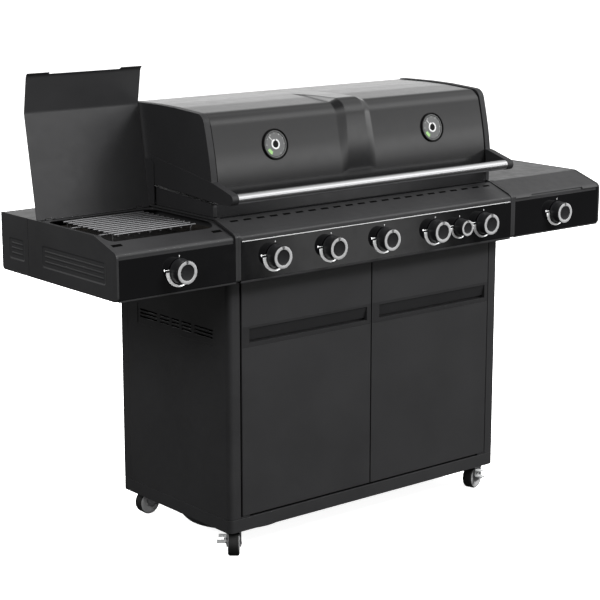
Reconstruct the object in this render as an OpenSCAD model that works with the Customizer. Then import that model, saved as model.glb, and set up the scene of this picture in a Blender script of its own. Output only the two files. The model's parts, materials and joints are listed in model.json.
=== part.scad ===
// Gas barbecue grill on a closed cart: five main burners, a sear burner on the left, a side burner on the
// right, a hinged lid, two hinged side covers, two doors and four braked swivel casters.
// Millimetres, +Z up, +X to the user's right, -Y towards the user. The origin is on the floor, under the
// middle of the grill's bounding box.

/* [Overall] */
// Width over the two side modules
total_w = 1670; // [1640:1:1700]
// Width of the cart's cabinet
cab_w = 950; // [940:1:956]
// Depth of the cart's cabinet
cab_d = 480; // [478:1:500]
// Height of the cabinet, from the bottom edge of its skirt
cab_h = 664; // [660:1:664]
// Height of the skirt's bottom edge above the floor
ground_gap = 70; // [68:1:74]

/* [Cabinet] */
// Sheet thickness of the cabinet's panels
sheet = 2; // [1.5:0.1:2.2]
// Height of the base skirt
skirt_h = 35; // [30:1:36]
// Outside radius of the front corners
corner_r = 15; // [8:1:18]
// Width of the front stile beside each door
stile_w = 37; // [34:1:38]
// Gap around the doors
door_gap = 4; // [3:0.5:5]
// Depth of the doors' folded edges
door_depth = 18; // [14:1:19]
// Bottom of the doors' grip strip
grip_z = 484; // [470:1:500]
// Height of the doors' grip strip
grip_h = 56; // [50:1:60]

/* [Control panel] */
// How far the panel's front stands ahead of the cabinet
panel_front = 50; // [46:1:52]
// Bottom of the front glass
glass_z0 = 671; // [670:1:673]
// Top of the front glass
glass_z1 = 771; // [768:1:772]
// Thickness of the front glass
glass_t = 4; // [3:0.5:4.5]

/* [Knobs] */
// How far the knob faces stand ahead of the cabinet
knob_reach = 83; // [76:1:90]
// Spacing of the main burners and their knobs
burner_pitch = 182; // [176:1:184]
// Height of the knob axes above the skirt's bottom edge
knob_z = 722; // [718:1:726]
// Radius of a knob
knob_r = 29.5; // [26:0.5:31]
// Radius of the small knob
small_knob_r = 22.5; // [20:0.5:23]

/* [Side modules] */
// Half the width over the panel between the modules
module_x0 = 479; // [479:1:480]
// Height of the modules' flat top
module_top = 814.5; // [812:0.5:816]
// Front end of the flat top
bend_y = 45; // [40:1:50]
// Rise of the sloping front of the top, per unit of depth
top_slope = 0.335; // [0.32:0.005:0.35]
// Height of the cover hinge's axis
cover_hinge_z = 811.6; // [811:0.1:812]
// Depth of the cover hinge's axis
cover_hinge_y = 311.3; // [305:0.1:315]
// Angle at which a cover rests against its stop
cover_open = 99.4; // [90:0.1:105]

/* [Lid] */
// Half the width over the lid's end castings
lid_x = 485; // [483:1:486]
// Width of an end casting's rim
lid_rim = 18.5; // [16:0.5:20]
// Radius of the handle tube
handle_r = 13.2; // [11:0.1:14]
// Depth of the handle tube's axis
handle_y = -25; // [-30:1:-22]
// Height of the handle tube's axis
handle_z = 870.5; // [866:0.5:876]
// Depth of the lid's pivot
pivot_y = 380; // [376:1:384]
// Height of the lid's pivot
pivot_z = 905; // [900:1:908]
// Half the distance between the two thermometers
gauge_x = 272.7; // [250:0.1:300]
// Height of the thermometers
gauge_z = 981; // [970:1:990]

/* [Casters] */
// Radius of a caster wheel
wheel_r = 32.5; // [30:0.5:34]
// Width of a caster wheel's tread
wheel_w = 27; // [22:1:28]
// Distance of the swivel axes from the cabinet's sides
stem_in = 40; // [38:1:46]
// Distance of the front swivel axes from the cabinet's front
stem_front = 36; // [36:1:40]
// Distance of the rear swivel axes from the cabinet's front
stem_rear = 444; // [436:1:444]
// Distance from the swivel axis back to the wheel's axle
trail = 10; // [8:1:14]

/* [Hidden] */
$fn = 48;

// Front face of the cabinet in the row's frame: the knob faces and the rear left brake pedal are equally far out
pedal_y0 = wheel_w / 2 + 6.5;
pedal_l = 24;
rear_reach = stem_rear + pedal_y0 + pedal_l;
cab_y = knob_reach - (rear_reach + knob_reach) / 2;
half_w = total_w / 2;
cab_x = cab_w / 2;
cab_in = cab_x - sheet;
stile_x = cab_x - stile_w;
door_x = stile_x - door_gap;
door_z0 = skirt_h + 7;
door_z1 = cab_h - 9;
post_d = 33;
panel_x = module_x0 - 8.2;
module_x1 = module_x0 + 8.3;
plate_x = half_w - 6.2;
module_mid = (module_x0 + half_w) / 2 - 1;
module_y1 = cab_d - 6;
module_z0 = cab_h + 3;
box_y0 = 50;
box_y1 = 414;
box_x = 469;
grate_z = 835;
burner_z = 742;
well_x0 = 500;
well_x1 = 816;
well_y0 = 12;
well_y1 = 290;
pin_gap = 0.05;
black = "#2b2b2d";
enamel = "#1a1a1b";
cast = "#262626";
steel = "#b9bbbd";

// Moves a module from the cabinet's frame (middle of the front face, bottom edge of the skirt) to the row's
module cart() {
    translate([0, cab_y, ground_gap])
    children();
}

// The same shape on both sides of the middle
module both() {
    children();
    mirror([1, 0, 0])
    children();
}

// A box between two corners
module block(lo, hi) {
    translate(lo)
    cube(hi - lo);
}

// An outline in (y, z), extruded from x0 to x1
module along_x(x0, x1) {
    translate([x0, 0, 0])
    rotate([90, 0, 90])
    linear_extrude(x1 - x0)
    children();
}

// An outline in (x, z), extruded from y0 to y1
module along_y(y0, y1) {
    translate([0, y1, 0])
    rotate([90, 0, 0])
    linear_extrude(y1 - y0)
    children();
}

// Round bar along X, Y
module rod_x(r, x0, x1, y, z) {
    translate([x0, y, z])
    rotate([0, 90, 0])
    cylinder(r = r, h = x1 - x0);
}

module rod_y(r, x, y0, y1, z) {
    translate([x, y1, z])
    rotate([90, 0, 0])
    cylinder(r = r, h = y1 - y0);
}

function xy(p) = [p[0], p[1]];
function unit(v) = v / norm(v);
function turn(a, b) = ((b - a + 540) % 360) - 180;

// The points of a corner at b between a and c, rounded to radius r
function corner(a, b, c, r) =
    r == 0 ? [b] :
    let (
        u = unit(a - b),
        v = unit(c - b),
        half = acos(u * v) / 2,
        centre = b + unit(u + v) * r / sin(half),
        p0 = b + u * r / tan(half) - centre,
        p1 = b + v * r / tan(half) - centre,
        a0 = atan2(p0[1], p0[0]),
        sweep = turn(a0, atan2(p1[1], p1[0])),
        steps = 6
    )
    [for (i = [0 : steps]) centre + r * [cos(a0 + sweep * i / steps), sin(a0 + sweep * i / steps)]];

// A closed outline from [x, y, corner radius] entries
function rounded(p) = [
    for (i = [0 : len(p) - 1])
    each corner(xy(p[(i + len(p) - 1) % len(p)]), xy(p[i]), xy(p[(i + 1) % len(p)]), p[i][2])
];

// An open line from [x, y, corner radius] entries; its end points keep radius 0
function line(p) = [
    for (i = [0 : len(p) - 1])
    each (i == 0 || i == len(p) - 1) ? [xy(p[i])] : corner(xy(p[i - 1]), xy(p[i]), xy(p[i + 1]), p[i][2])
];

function left_of(v) = [-v[1], v[0]];
function cross2(a, b) = a[0] * b[1] - a[1] * b[0];

// Entry i of a line, moved t to the left of its direction of travel, with its corner radius kept concentric
function moved(p, i, t, closed) =
    let (
        n = len(p),
        before = unit((i == 0 && !closed) ? xy(p[1]) - xy(p[0]) : xy(p[i]) - xy(p[(i + n - 1) % n])),
        after = unit((i == n - 1 && !closed) ? xy(p[n - 1]) - xy(p[n - 2]) : xy(p[(i + 1) % n]) - xy(p[i])),
        m = unit(left_of(before) + left_of(after)),
        at = xy(p[i]) + m * t / (m * left_of(after)),
        r = p[i][2] == 0 ? 0 : p[i][2] - t * sign(cross2(before, after))
    )
    [at[0], at[1], r < 0.4 ? 0 : r];

function moved_line(p, t, closed) = [for (i = [0 : len(p) - 1]) moved(p, i, t, closed)];
function reversed(p) = [for (i = [len(p) - 1 : -1 : 0]) p[i]];

// Outline of a sheet of thickness t on the left of an open line of entries
function ribbon(p, t) = concat(line(p), reversed(line(moved_line(p, t, false))));

// A closed outline of entries moved in by t; the outline runs counter-clockwise
function inset(p, t) = moved_line(p, t, true);

// A rectangle with round corners, in plan
module pill(x0, y0, x1, y1, r) {
    polygon(rounded([[x0, y0, r], [x1, y0, r], [x1, y1, r], [x0, y1, r]]));
}

// ---- Cabinet ----

module base_outline(t) {
    r = corner_r - t;
    polygon(rounded([
        [-cab_x + t, t, r],
        [cab_x - t, t, r],
        [cab_x - t, cab_d - t, 3],
        [-cab_x + t, cab_d - t, 3]
    ]));
}

tray_hole = 149;
tray_at = [-304, 200];
mount_z = skirt_h - sheet;
race_r = 6.05;

// Plate and king pin that carry one caster
module caster_mount() {
    block([-19, -19, mount_z - 4], [19, 19, mount_z]);
    translate([0, 0, 3])
    cylinder(r = race_r - pin_gap, h = mount_z - 3);
    translate([0, 0, 2])
    cylinder(r = 9, h = 4);
}

module base_frame() {
    color(black)
    cart() {
        difference() {
            linear_extrude(skirt_h) base_outline(0);
            translate([0, 0, -1])
            linear_extrude(mount_z + 1) base_outline(sheet);
            translate([tray_at[0], tray_at[1], 0])
            cylinder(r = tray_hole, h = skirt_h + 1);
        }
        both()
        for (y = [stem_front, stem_rear])
        translate([cab_x - stem_in, y, 0])
        caster_mount();
    }
}

// Dished tray that locates the gas bottle in the cabinet's floor
module bottle_tray() {
    dish_r = 146;
    dish_z = -30;
    color(black)
    cart()
    translate([tray_at[0], tray_at[1], 0])
    rotate_extrude()
    polygon([
        [0, dish_z], [dish_r - 8, dish_z], [dish_r, dish_z + 8], [dish_r + 2, skirt_h],
        [dish_r + 12, skirt_h], [dish_r + 12, skirt_h + 2], [dish_r, skirt_h + 2],
        [dish_r - 2, dish_z + 9], [dish_r - 9, dish_z + 2], [0, dish_z + 2]
    ]);
}

panel_z0 = skirt_h + 1;
side_y1 = cab_d - post_d;
emboss = 1;
slot_groups = [[66, 145.5], [158.7, 200.7], [212, 245.5], [256, 297.5], [311, 390]];

// Side panel with its rounded front stile, an embossed field and three rows of vents
module side_panel() {
    fold = 16;
    field = [57, 401, 485, 539];
    vent_h = 5;
    vent_pitch = 9.5;
    difference() {
        union() {
            translate([0, 0, panel_z0])
            linear_extrude(cab_h - panel_z0)
            polygon(ribbon([
                [stile_x, fold, 0],
                [stile_x, 0, 2],
                [cab_x, 0, corner_r],
                [cab_x, side_y1, 0]
            ], sheet));
            block([cab_in - emboss, field[0], field[2]], [cab_in + 0.5, field[1], field[3]]);
        }
        block([cab_x - emboss, field[0], field[2]], [cab_x + 1, field[1], field[3]]);
        for (row = [-1 : 1], g = slot_groups)
        let (z = (field[2] + field[3]) / 2 + 2.5 + row * vent_pitch)
        along_x(cab_in - 2, cab_x + 1)
        polygon(rounded([
            [g[0], z - vent_h / 2, 2], [g[1], z - vent_h / 2, 2],
            [g[1], z + vent_h / 2, 2], [g[0], z + vent_h / 2, 2]
        ]));
    }
}

module side_panel_right() {
    color(black)
    cart()
    side_panel();
}

module side_panel_left() {
    color(black)
    cart()
    mirror([1, 0, 0])
    side_panel();
}

// Corner posts at the rear, each in two lengths with a seam
module rear_posts() {
    seam_z = 363;
    color(black)
    cart()
    both()
    for (z = [[panel_z0, seam_z], [seam_z + 1, cab_h]])
    translate([0, 0, z[0]])
    linear_extrude(z[1] - z[0])
    polygon(ribbon([
        [cab_x, side_y1 + 0.6, 0],
        [cab_x, cab_d, 3],
        [cab_x - post_d, cab_d, 0]
    ], sheet));
}

module rear_panel() {
    vent_x = 300;
    vent_rows = 6;
    color(black)
    cart()
    difference() {
        block([-cab_x + post_d + 0.6, cab_d - sheet, panel_z0], [cab_x - post_d - 0.6, cab_d, cab_h]);
        for (row = [0 : vent_rows - 1], s = [-1, 1])
        block(
            [s * vent_x - 90, cab_d - 5, 500 + row * 16],
            [s * vent_x + 90, cab_d + 1, 506 + row * 16]
        );
    }
}

hinge_x = door_x - 11;
hinge_y = 6;
hinge_pin_r = 3;
lug_t = 3;

// Rails behind the doors, the top frame, and the four lugs that the doors hinge on
module cart_frame() {
    rail_y = door_depth + 6;
    color(black)
    cart() {
        both() {
            for (z = [skirt_h + 1.5, cab_h - 4.5])
            difference() {
                block([hinge_x - 12, 0, z], [stile_x, rail_y + 1, z + lug_t]);
                translate([hinge_x, hinge_y, z - 1])
                cylinder(r = hinge_pin_r + pin_gap, h = lug_t + 2);
            }
            block([cab_in - 18, rail_y, cab_h - 24], [cab_in, cab_d - sheet - 1, cab_h]);
        }
        block([-cab_in, rail_y, cab_h - 24], [cab_in, rail_y + 18, cab_h]);
        block([-cab_in, cab_d - sheet - 19, cab_h - 24], [cab_in, cab_d - sheet - 1, cab_h]);
        block([-cab_in, rail_y, panel_z0], [cab_in, rail_y + sheet, door_z0 + 10]);
    }
}

slot_z0 = grip_z + 12;
slot_z1 = grip_z + grip_h - 8;
// Rim of the grip strip left and right of its slot: the same strip fits both doors
slot_left = 28;
slot_right = 16;

// Door pan with folded edges; the grip strip closes the band across it
module door() {
    x0 = door_gap / 2;
    difference() {
        block([x0, -sheet, door_z0], [door_x, door_depth, door_z1]);
        block([x0 + sheet, 0, door_z0 + sheet], [door_x - sheet, door_depth + 1, door_z1 - sheet]);
        block([x0 + sheet, -sheet - 1, grip_z], [door_x - sheet, 1, grip_z + grip_h]);
    }
    for (z = [door_z0 - 6, door_z1 - 0.5])
    translate([hinge_x, hinge_y, z])
    cylinder(r = hinge_pin_r, h = 6.5);
}

module door_right() {
    color(black)
    cart()
    door();
}

module door_left() {
    color(black)
    cart()
    mirror([1, 0, 0])
    door();
}

// Grip strip with a finger slot: a shallow sloping back over a deep, narrow floor
module door_handle(slot_x0, slot_x1) {
    x0 = door_gap / 2 + sheet;
    x1 = door_x - sheet;
    depth = 15;
    slope = 6;
    deep_h = 6;
    difference() {
        union() {
            block([x0, -sheet, grip_z], [x1, 0, grip_z + grip_h]);
            along_x(slot_x0 - sheet, slot_x1 + sheet)
            polygon([
                [-1, slot_z0 - sheet], [depth + sheet, slot_z0 - sheet],
                [depth + sheet, slot_z0 + deep_h + sheet], [slope + sheet, slot_z0 + deep_h + sheet],
                [2, slot_z1 + sheet], [-1, slot_z1 + sheet]
            ]);
        }
        along_x(slot_x0, slot_x1)
        polygon([
            [-sheet - 1, slot_z0], [depth, slot_z0], [depth, slot_z0 + deep_h],
            [slope, slot_z0 + deep_h], [0, slot_z1], [-sheet - 1, slot_z1]
        ]);
    }
}

module door_handle_right() {
    color("#202022")
    cart()
    door_handle(slot_left, stile_x - slot_right);
}

module door_handle_left() {
    color("#202022")
    cart()
    mirror([1, 0, 0])
    door_handle(slot_right, stile_x - slot_left);
}

// ---- Firebox ----

burner_xs = [for (i = [-2 : 2]) i * burner_pitch];
small_burner_x = burner_pitch * 1.5;
box_floor = 700;
box_top = 850;
tray_x = 150;

module firebox() {
    wall = 3;
    color(enamel)
    cart()
    difference() {
        union() {
            difference() {
                block([-box_x, box_y0, box_floor], [box_x, box_y1, box_top]);
                block([-box_x + wall, box_y0 + wall, box_floor + wall], [box_x - wall, box_y1 - wall, box_top + 1]);
            }
            both()
            block([box_x - wall, box_y0, cab_h], [box_x, box_y1, box_floor + 1]);
            for (y = [[box_y0, box_y0 + 8], [box_y1 - 8, box_y1]], z = [grate_z - 3, 778])
            block([-box_x + 1, y[0] + 1, z], [box_x - 1, y[1] - 1, z + wall]);
            both()
            along_y(box_y0 + 30, box_y1)
            polygon([
                [tray_x + 2, box_floor + 1], [tray_x + 2, 671], [tray_x - 8, 671], [tray_x - 8, 669],
                [tray_x + 4, 669], [tray_x + 4, box_floor + 1]
            ]);
        }
        block([-130, 130, box_floor - 1], [130, 340, box_floor + wall + 1]);
        for (x = concat(burner_xs, [small_burner_x]))
        rod_y(17, x, box_y0 - 1, box_y0 + wall + 1, burner_z);
    }
}

bracket_x = lid_x + 3;
bracket_t = 2;
pivot_r = 5;

// End castings on the firebox's rim, with the lid's bracket plates and pivot pins
module firebox_ends() {
    end_x = lid_x - 4;
    top_front = 848.6;
    top_rear = 865;
    outline = [
        [box_y0 - 1, module_top + 3.5, 0], [box_y1 - 14, module_top + 3.5, 4],
        [box_y1 - 14, top_rear, 4], [298, top_rear, 0], [box_y0 - 1, top_front, 8]
    ];
    color(cast)
    cart()
    both() {
        along_x(end_x - 5, end_x)
        polygon(rounded(outline));
        along_x(box_x, end_x)
        difference() {
            polygon(rounded(outline));
            polygon(rounded(inset(outline, 5)));
        }
        block([box_x, box_y0 + 10, module_top + 4], [end_x - 4, box_y1 - 24, module_top + 12]);
        block([box_x, box_y0, module_top + 4], [end_x - 1, box_y0 + 4, top_front - 6]);
        block([end_x - 1, 296, module_top + 4], [bracket_x + bracket_t, 396, module_top + 14]);
        along_x(bracket_x, bracket_x + bracket_t)
        polygon(rounded([
            [292, module_top + 4, 3], [404, module_top + 4, 3], [404, 935, 14], [292, 935, 14]
        ]));
        rod_x(6, bracket_x + bracket_t - 0.5, bracket_x + bracket_t + 0.7, 318.5, 857);
        rod_x(pivot_r, lid_x - 7, bracket_x + bracket_t, pivot_y, pivot_z);
        rod_x(9, bracket_x + bracket_t - 0.5, bracket_x + bracket_t + 2, pivot_y, pivot_z);
    }
}

// Tube burners with a venturi at the front, held off the floor by a foot at the rear
module burner_tube(x, y1, r) {
    difference() {
        union() {
            rod_y(r, x, box_y0 + 20, y1, burner_z);
            rod_y(15.5, x, box_y0 - 26, box_y0 + 24, burner_z);
        }
        rod_y(13, x, box_y0 - 27, box_y0 + 6, burner_z);
        rod_y(r - 1.5, x, box_y0 - 27, y1 - 2, burner_z);
    }
    block([x - 4, y1 - 12, box_floor + 3], [x + 4, y1 - 8, burner_z]);
}

module burner_tubes() {
    color(steel)
    cart() {
        for (x = burner_xs)
        burner_tube(x, box_y1 - 20, 12.5);
        burner_tube(small_burner_x, 230, 9);
    }
}

module flame_tamers() {
    color("#8c8d8f")
    cart()
    for (x = burner_xs)
    along_y(box_y0 + 4, box_y1 - 4)
    polygon([
        [x - 42, 781.3], [x - 36, 781.3], [x, 806], [x + 36, 781.3], [x + 42, 781.3],
        [x + 42, 783.3], [x + 37, 783.3], [x, 808.5], [x - 37, 783.3], [x - 42, 783.3]
    ]);
}

// Two cast grates of bars along Y with cross ribs
module cooking_grates() {
    bars = 21;
    grate_w = 463;
    pitch = (grate_w - 9) / (bars - 1);
    color(cast)
    cart()
    both() {
        for (i = [0 : bars - 1])
        block(
            [1.5 + i * pitch, box_y0 + 5, grate_z + 0.3],
            [1.5 + i * pitch + 8, box_y1 - 5, grate_z + 9]
        );
        for (y = [box_y0 + 5, 170, 290, box_y1 - 13])
        block([1.5, y, grate_z + 0.3], [1.5 + grate_w - 1, y + 8, grate_z + 7]);
    }
}

rack_z = 935;

module warming_rack() {
    wires = 9;
    rack_x = 440;
    wire_y0 = 250;
    wire_pitch = 14;
    color("#c4c6c8")
    cart() {
        for (i = [0 : wires - 1])
        rod_x(2, -rack_x, rack_x, wire_y0 + i * wire_pitch, rack_z + 3.5);
        both() {
            for (x = [0.5, rack_x / 2, rack_x - 4])
            rod_y(2.5, x, wire_y0 - 6, wire_y0 + (wires - 1) * wire_pitch + 6, rack_z);
            for (y = [wire_y0, wire_y0 + 100])
            translate([rack_x - 4, y, grate_z + 9.1])
            cylinder(r = 2.5, h = rack_z - grate_z - 8.1);
        }
    }
}

// ---- Gas train ----

manifold_y = -12;
manifold_z = 704;
valve_z1 = burner_z + 8;

module gas_manifold() {
    run_x = 2.2 * burner_pitch;
    inlet_x = 300;
    inlet_y = 54;
    inlet_z = 684;
    color("#9a9c9e")
    cart() {
        rod_x(8, -run_x, run_x, manifold_y, manifold_z);
        both()
        rod_x(3.5, run_x - 4, module_mid + 4, manifold_y, manifold_z);
        translate([inlet_x, manifold_y, inlet_z - 4])
        cylinder(r = 6, h = manifold_z - inlet_z + 4);
        rod_y(6, inlet_x, manifold_y - 4, inlet_y + 4, inlet_z);
        translate([inlet_x, inlet_y, cab_h - 60])
        cylinder(r = 6, h = inlet_z - cab_h + 64);
        translate([inlet_x, inlet_y, cab_h - 90])
        cylinder(r = 4.5, h = 34);
    }
}

spindle_r = 4;
knob_xs = [-2 * burner_pitch, -burner_pitch, 0, burner_pitch, small_burner_x, 2 * burner_pitch];

// Valve body with its spindle bore and the nozzle that feeds a burner
module gas_valve(x, front) {
    difference() {
        union() {
            rod_y(12, x, front, 4, knob_z);
            block([x - 9, manifold_y - 12, manifold_z - 2], [x + 9, 4, valve_z1]);
            rod_y(4, x, 0, 34, burner_z);
        }
        rod_y(spindle_r + pin_gap, x, front - 1, manifold_y - 4, knob_z);
    }
}

module gas_valves() {
    color("#b59a5b")
    cart()
    for (x = concat(knob_xs, [-module_mid, module_mid]))
    gas_valve(x, -42);
}

// ---- Control panel ----

module spindle_holes(xs, y0, y1) {
    for (x = xs)
    rod_y(6.5, x, y0, y1, knob_z);
}

// Front and sloping top of the panel, with louvre slots along the rear of the top and an end cheek each side
module control_panel() {
    back = -panel_front + glass_t;
    lip_z = cab_h;
    slot_n = 22;
    slot_pitch = 41.9;
    cheek = [
        [-50, 670, 5], [42, 664.5, 0], [46, 817.1, 0], [37.8, 817.1, 2], [-38, 791.2, 6], [-50, 783, 8]
    ];
    color(black)
    cart() {
        difference() {
            along_x(-panel_x, panel_x)
            polygon(ribbon([
                [box_y0 - 8, 813.5, 0], [33, 813.5, 6], [-36, 788, 8], [-49, 781.5, 7],
                [-49.5, glass_z1 + 0.6, 0], [back, glass_z1 + 0.5, 0], [back, glass_z0 - 0.5, 0],
                [-49.5, glass_z0 - 0.6, 0], [-49.5, lip_z, 2], [-30, lip_z, 0]
            ], sheet * 0.9));
            for (i = [0 : slot_n - 1])
            let (x = (i - (slot_n - 1) / 2) * slot_pitch)
            block([x - 11, 16.5, 780], [x + 11, 20.5, 820]);
            spindle_holes(knob_xs, back - 3, back + 4);
        }
        both()
        difference() {
            along_x(panel_x + 0.2, module_x0 - 0.2)
            polygon(rounded(cheek));
            along_x(panel_x + 2, module_x0 + 1)
            polygon(rounded(inset(cheek, 5)));
            rod_x(6, panel_x - 1, module_x0 + 1, manifold_y, manifold_z);
        }
    }
}

module panel_glass() {
    color("#0c0c0d")
    cart()
    difference() {
        block([-panel_x + 0.5, -panel_front, glass_z0], [panel_x - 0.5, -panel_front + glass_t - 0.1, glass_z1]);
        spindle_holes(knob_xs, -panel_front - 1, -panel_front + glass_t + 1);
    }
}

// ---- Knobs ----

// Knob with a tapered skirt, a raised grip, a pointer groove and its spindle
module knob(x, r) {
    face = -knob_reach;
    base = -panel_front - 2;
    color("#1d1d1f")
    cart()
    translate([x, 0, knob_z])
    rotate([90, 0, 0])
    difference() {
        union() {
            rotate_extrude()
            polygon([
                [0, -base], [r + 1, -base], [r + 1, -base + 3], [r, -base + 5], [r, -face - 2],
                [r - 2, -face], [r - 9.5, -face], [r - 10.5, -face - 1.5], [0, -face - 1.5]
            ]);
            translate([0, 0, 20])
            cylinder(r = spindle_r, h = -base - 19);
        }
        translate([-1.6, r - 12, -face - 2])
        cube([3.2, 13, 3]);
    }
}

module knob_1() { knob(knob_xs[0], knob_r); }
module knob_2() { knob(knob_xs[1], knob_r); }
module knob_3() { knob(knob_xs[2], knob_r); }
module knob_4() { knob(knob_xs[3], knob_r); }
module knob_5() { knob(knob_xs[4], small_knob_r); }
module knob_6() { knob(knob_xs[5], knob_r); }
module knob_left() { knob(-module_mid, knob_r); }
module knob_right() { knob(module_mid, knob_r); }

// ---- Side modules ----

plate_outline = [
    [-panel_front, 667, 12], [module_y1, 667, 8], [module_y1, module_top, 2],
    [bend_y, module_top, 30], [-panel_front, module_top - (bend_y + panel_front) * top_slope, 16]
];

// Pressed vent: a recess with raised ribs across it
module vent_recess(y0, y1, z0, z1, d) {
    along_x(half_w - d, half_w + 1)
    pill(y0, z0, y1, z1, 7);
}

module vent_ribs(y0, y1, zs, d) {
    for (z = zs)
    along_x(half_w - d - 0.5, half_w - 0.7)
    pill(y0, z - 1.6, y1, z + 1.6, 1.5);
}

// Outer end plate with a rim, a seam and two pressed vents
module side_plate() {
    skin = 2.5;
    press = 1.2;
    louvre_z = [716.5, 729.5, 742];
    difference() {
        union() {
            along_x(half_w - skin, half_w)
            polygon(rounded(plate_outline));
            along_x(plate_x, half_w)
            difference() {
                polygon(rounded(plate_outline));
                polygon(rounded(inset(plate_outline, 5)));
            }
        }
        vent_recess(-2, 280, 701, 756, press);
        vent_recess(364, 438, 701, 755, press);
        block([half_w - 1, 344.4, 660], [half_w + 1, 345.6, 820]);
    }
    vent_ribs(6, 268, louvre_z, press);
    vent_ribs(373, 427, louvre_z, press);
}

module right_side_plate() {
    color(black)
    cart()
    side_plate();
}

module left_side_plate() {
    color(black)
    cart()
    mirror([1, 0, 0])
    side_plate();
}

// Inner end plate, floor, back and bottom lip of a module
module module_pan() {
    cheek = [
        [-panel_front, 667, 8], [module_y1, 667, 4], [module_y1, module_top + 2.6, 2],
        [bend_y - 8, module_top + 2.6, 10], [-38, 791.2, 6], [-panel_front, 783, 8]
    ];
    difference() {
        union() {
            along_x(module_x0 + 0.1, module_x0 + sheet)
            polygon(rounded(cheek));
            along_x(module_x0 + 0.1, module_x1)
            difference() {
                polygon(rounded(cheek));
                polygon(rounded(inset(cheek, 4)));
            }
        }
        rod_x(6, module_x0 - 1, module_x1 + 1, manifold_y, manifold_z);
    }
    block([module_x0 + 1, -panel_front + 6, module_z0], [plate_x - 0.3, module_y1, module_z0 + sheet]);
    block([module_x0 + 1, module_y1 - sheet, module_z0], [plate_x - 0.3, module_y1, module_top - 4]);
    block([module_x1 - 0.5, -panel_front + 0.5, module_z0], [plate_x - 0.3, -panel_front + 8, glass_z0 - 0.3]);
}

module right_module_pan() {
    color(black)
    cart()
    module_pan();
}

module left_module_pan() {
    color(black)
    cart()
    mirror([1, 0, 0])
    module_pan();
}

deck_drop = 3.2;
deck_t = 1.5;
trough_y0 = cover_hinge_y - 7;
trough_y1 = cover_hinge_y + 7.5;
deck_x0 = module_x1 + 0.2;
deck_x1 = plate_x - 0.2;

function slope_z(y, drop) = module_top - drop - (bend_y - y) * top_slope;

// Top and front of a module: one folded sheet with the burner well's opening and the hinge trough
module deck() {
    front = -panel_front + 5;
    top = module_top - deck_drop;
    difference() {
        along_x(deck_x0, deck_x1)
        polygon(ribbon([
            [module_y1 - 2.2, module_top - 0.6, 0], [trough_y1, module_top - 0.6, 1],
            [trough_y1, top - 7, 1], [trough_y0, top - 7, 1],
            [trough_y0, top, 1], [bend_y, top, 20], [front, slope_z(front, deck_drop), 10],
            [front, glass_z0, 0]
        ], deck_t));
        translate([0, 0, 760])
        linear_extrude(80) pill(well_x0, well_y0, well_x1, well_y1, 25);
        spindle_holes([module_mid], front - 3, front + 4);
        for (x = [well_x0 + 2, well_x1 - 22])
        block([x, -10.5, 780], [x + 20, -6, 820]);
    }
    for (x = [deck_x0 + 26, deck_x1 - 26 - 18])
    hinge_lug(x);
}

// Fixed knuckle of a cover's hinge, standing in the trough
module hinge_lug(x) {
    rod_x(2.8, x, x + 18, cover_hinge_y, cover_hinge_z - 0.3);
    block([x, cover_hinge_y - 2, module_top - deck_drop - 8], [x + 18, cover_hinge_y + 2, cover_hinge_z]);
}

module right_deck() {
    color(black)
    cart()
    deck();
}

module left_deck() {
    color(black)
    cart()
    mirror([1, 0, 0])
    deck();
}

module module_glass() {
    difference() {
        block([deck_x0 + 0.5, -panel_front, glass_z0 + 0.5], [deck_x1 - 0.5, -panel_front + 4.8, 767.5]);
        spindle_holes([module_mid], -panel_front - 1, -panel_front + 6);
    }
}

module right_glass() {
    color("#0c0c0d")
    cart()
    module_glass();
}

module left_glass() {
    color("#0c0c0d")
    cart()
    mirror([1, 0, 0])
    module_glass();
}

cover_x0 = module_x1 + 3.7;
cover_x1 = plate_x - 0.5;
cover_t = 1.5;

// Folded cover, drawn closed, with a grip cut-out in its front lip and hinge knuckles between the fixed ones
module cover() {
    drop = 0.6;
    grip_half = 105;
    front = -panel_front;
    lip_z = 775.5;
    mid = (cover_x0 + cover_x1) / 2;
    knuckle_x = cover_x0 + 44;
    difference() {
        along_x(cover_x0, cover_x1)
        polygon(ribbon([
            [cover_hinge_y, module_top - drop, 0], [bend_y, module_top - drop, 24],
            [front, slope_z(front, drop), 18], [front, lip_z - 8, 0]
        ], cover_t));
        block([cover_x0 - 1, front - 1, lip_z - 9], [cover_x1 + 1, front + 6, lip_z]);
        along_y(front - 2, front + 5)
        pill(mid - grip_half, 760, mid + grip_half, 783.5, 6);
        for (x = [deck_x0 + 26, deck_x1 - 26 - 18])
        block([x - 1, cover_hinge_y - 4.5, 800], [x + 19, cover_hinge_y + 4, 820]);
    }
    rod_x(2.2, knuckle_x + 8, 2 * mid - knuckle_x - 8, cover_hinge_y, cover_hinge_z);
}

module right_cover() {
    color(black)
    cart()
    cover();
}

module left_cover() {
    color(black)
    cart()
    translate([0, cover_hinge_y, cover_hinge_z])
    rotate([-cover_open, 0, 0])
    translate([0, -cover_hinge_y, -cover_hinge_z])
    mirror([1, 0, 0])
    cover();
}

well_z = 752;

// Open well under a module's deck opening
module burner_well() {
    r = 25;
    m = 3;
    difference() {
        translate([0, 0, well_z])
        linear_extrude(module_top - deck_drop - deck_t - 14 - well_z)
        pill(well_x0 - m, well_y0 - m, well_x1 + m, well_y1 + m, r + m);
        translate([0, 0, well_z + 2])
        linear_extrude(80) pill(well_x0 - m + 2, well_y0 - m + 2, well_x1 + m - 2, well_y1 + m - 2, r + m - 2);
    }
}

// Venturi tube from a module's valve to its burner
module side_venturi(y1, z1) {
    difference() {
        rod_y(9, module_mid, 20, y1, burner_z);
        rod_y(7, module_mid, 19, 60, burner_z);
    }
    translate([module_mid, y1 - 9, burner_z])
    cylinder(r = 9, h = z1 - burner_z);
}

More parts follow.
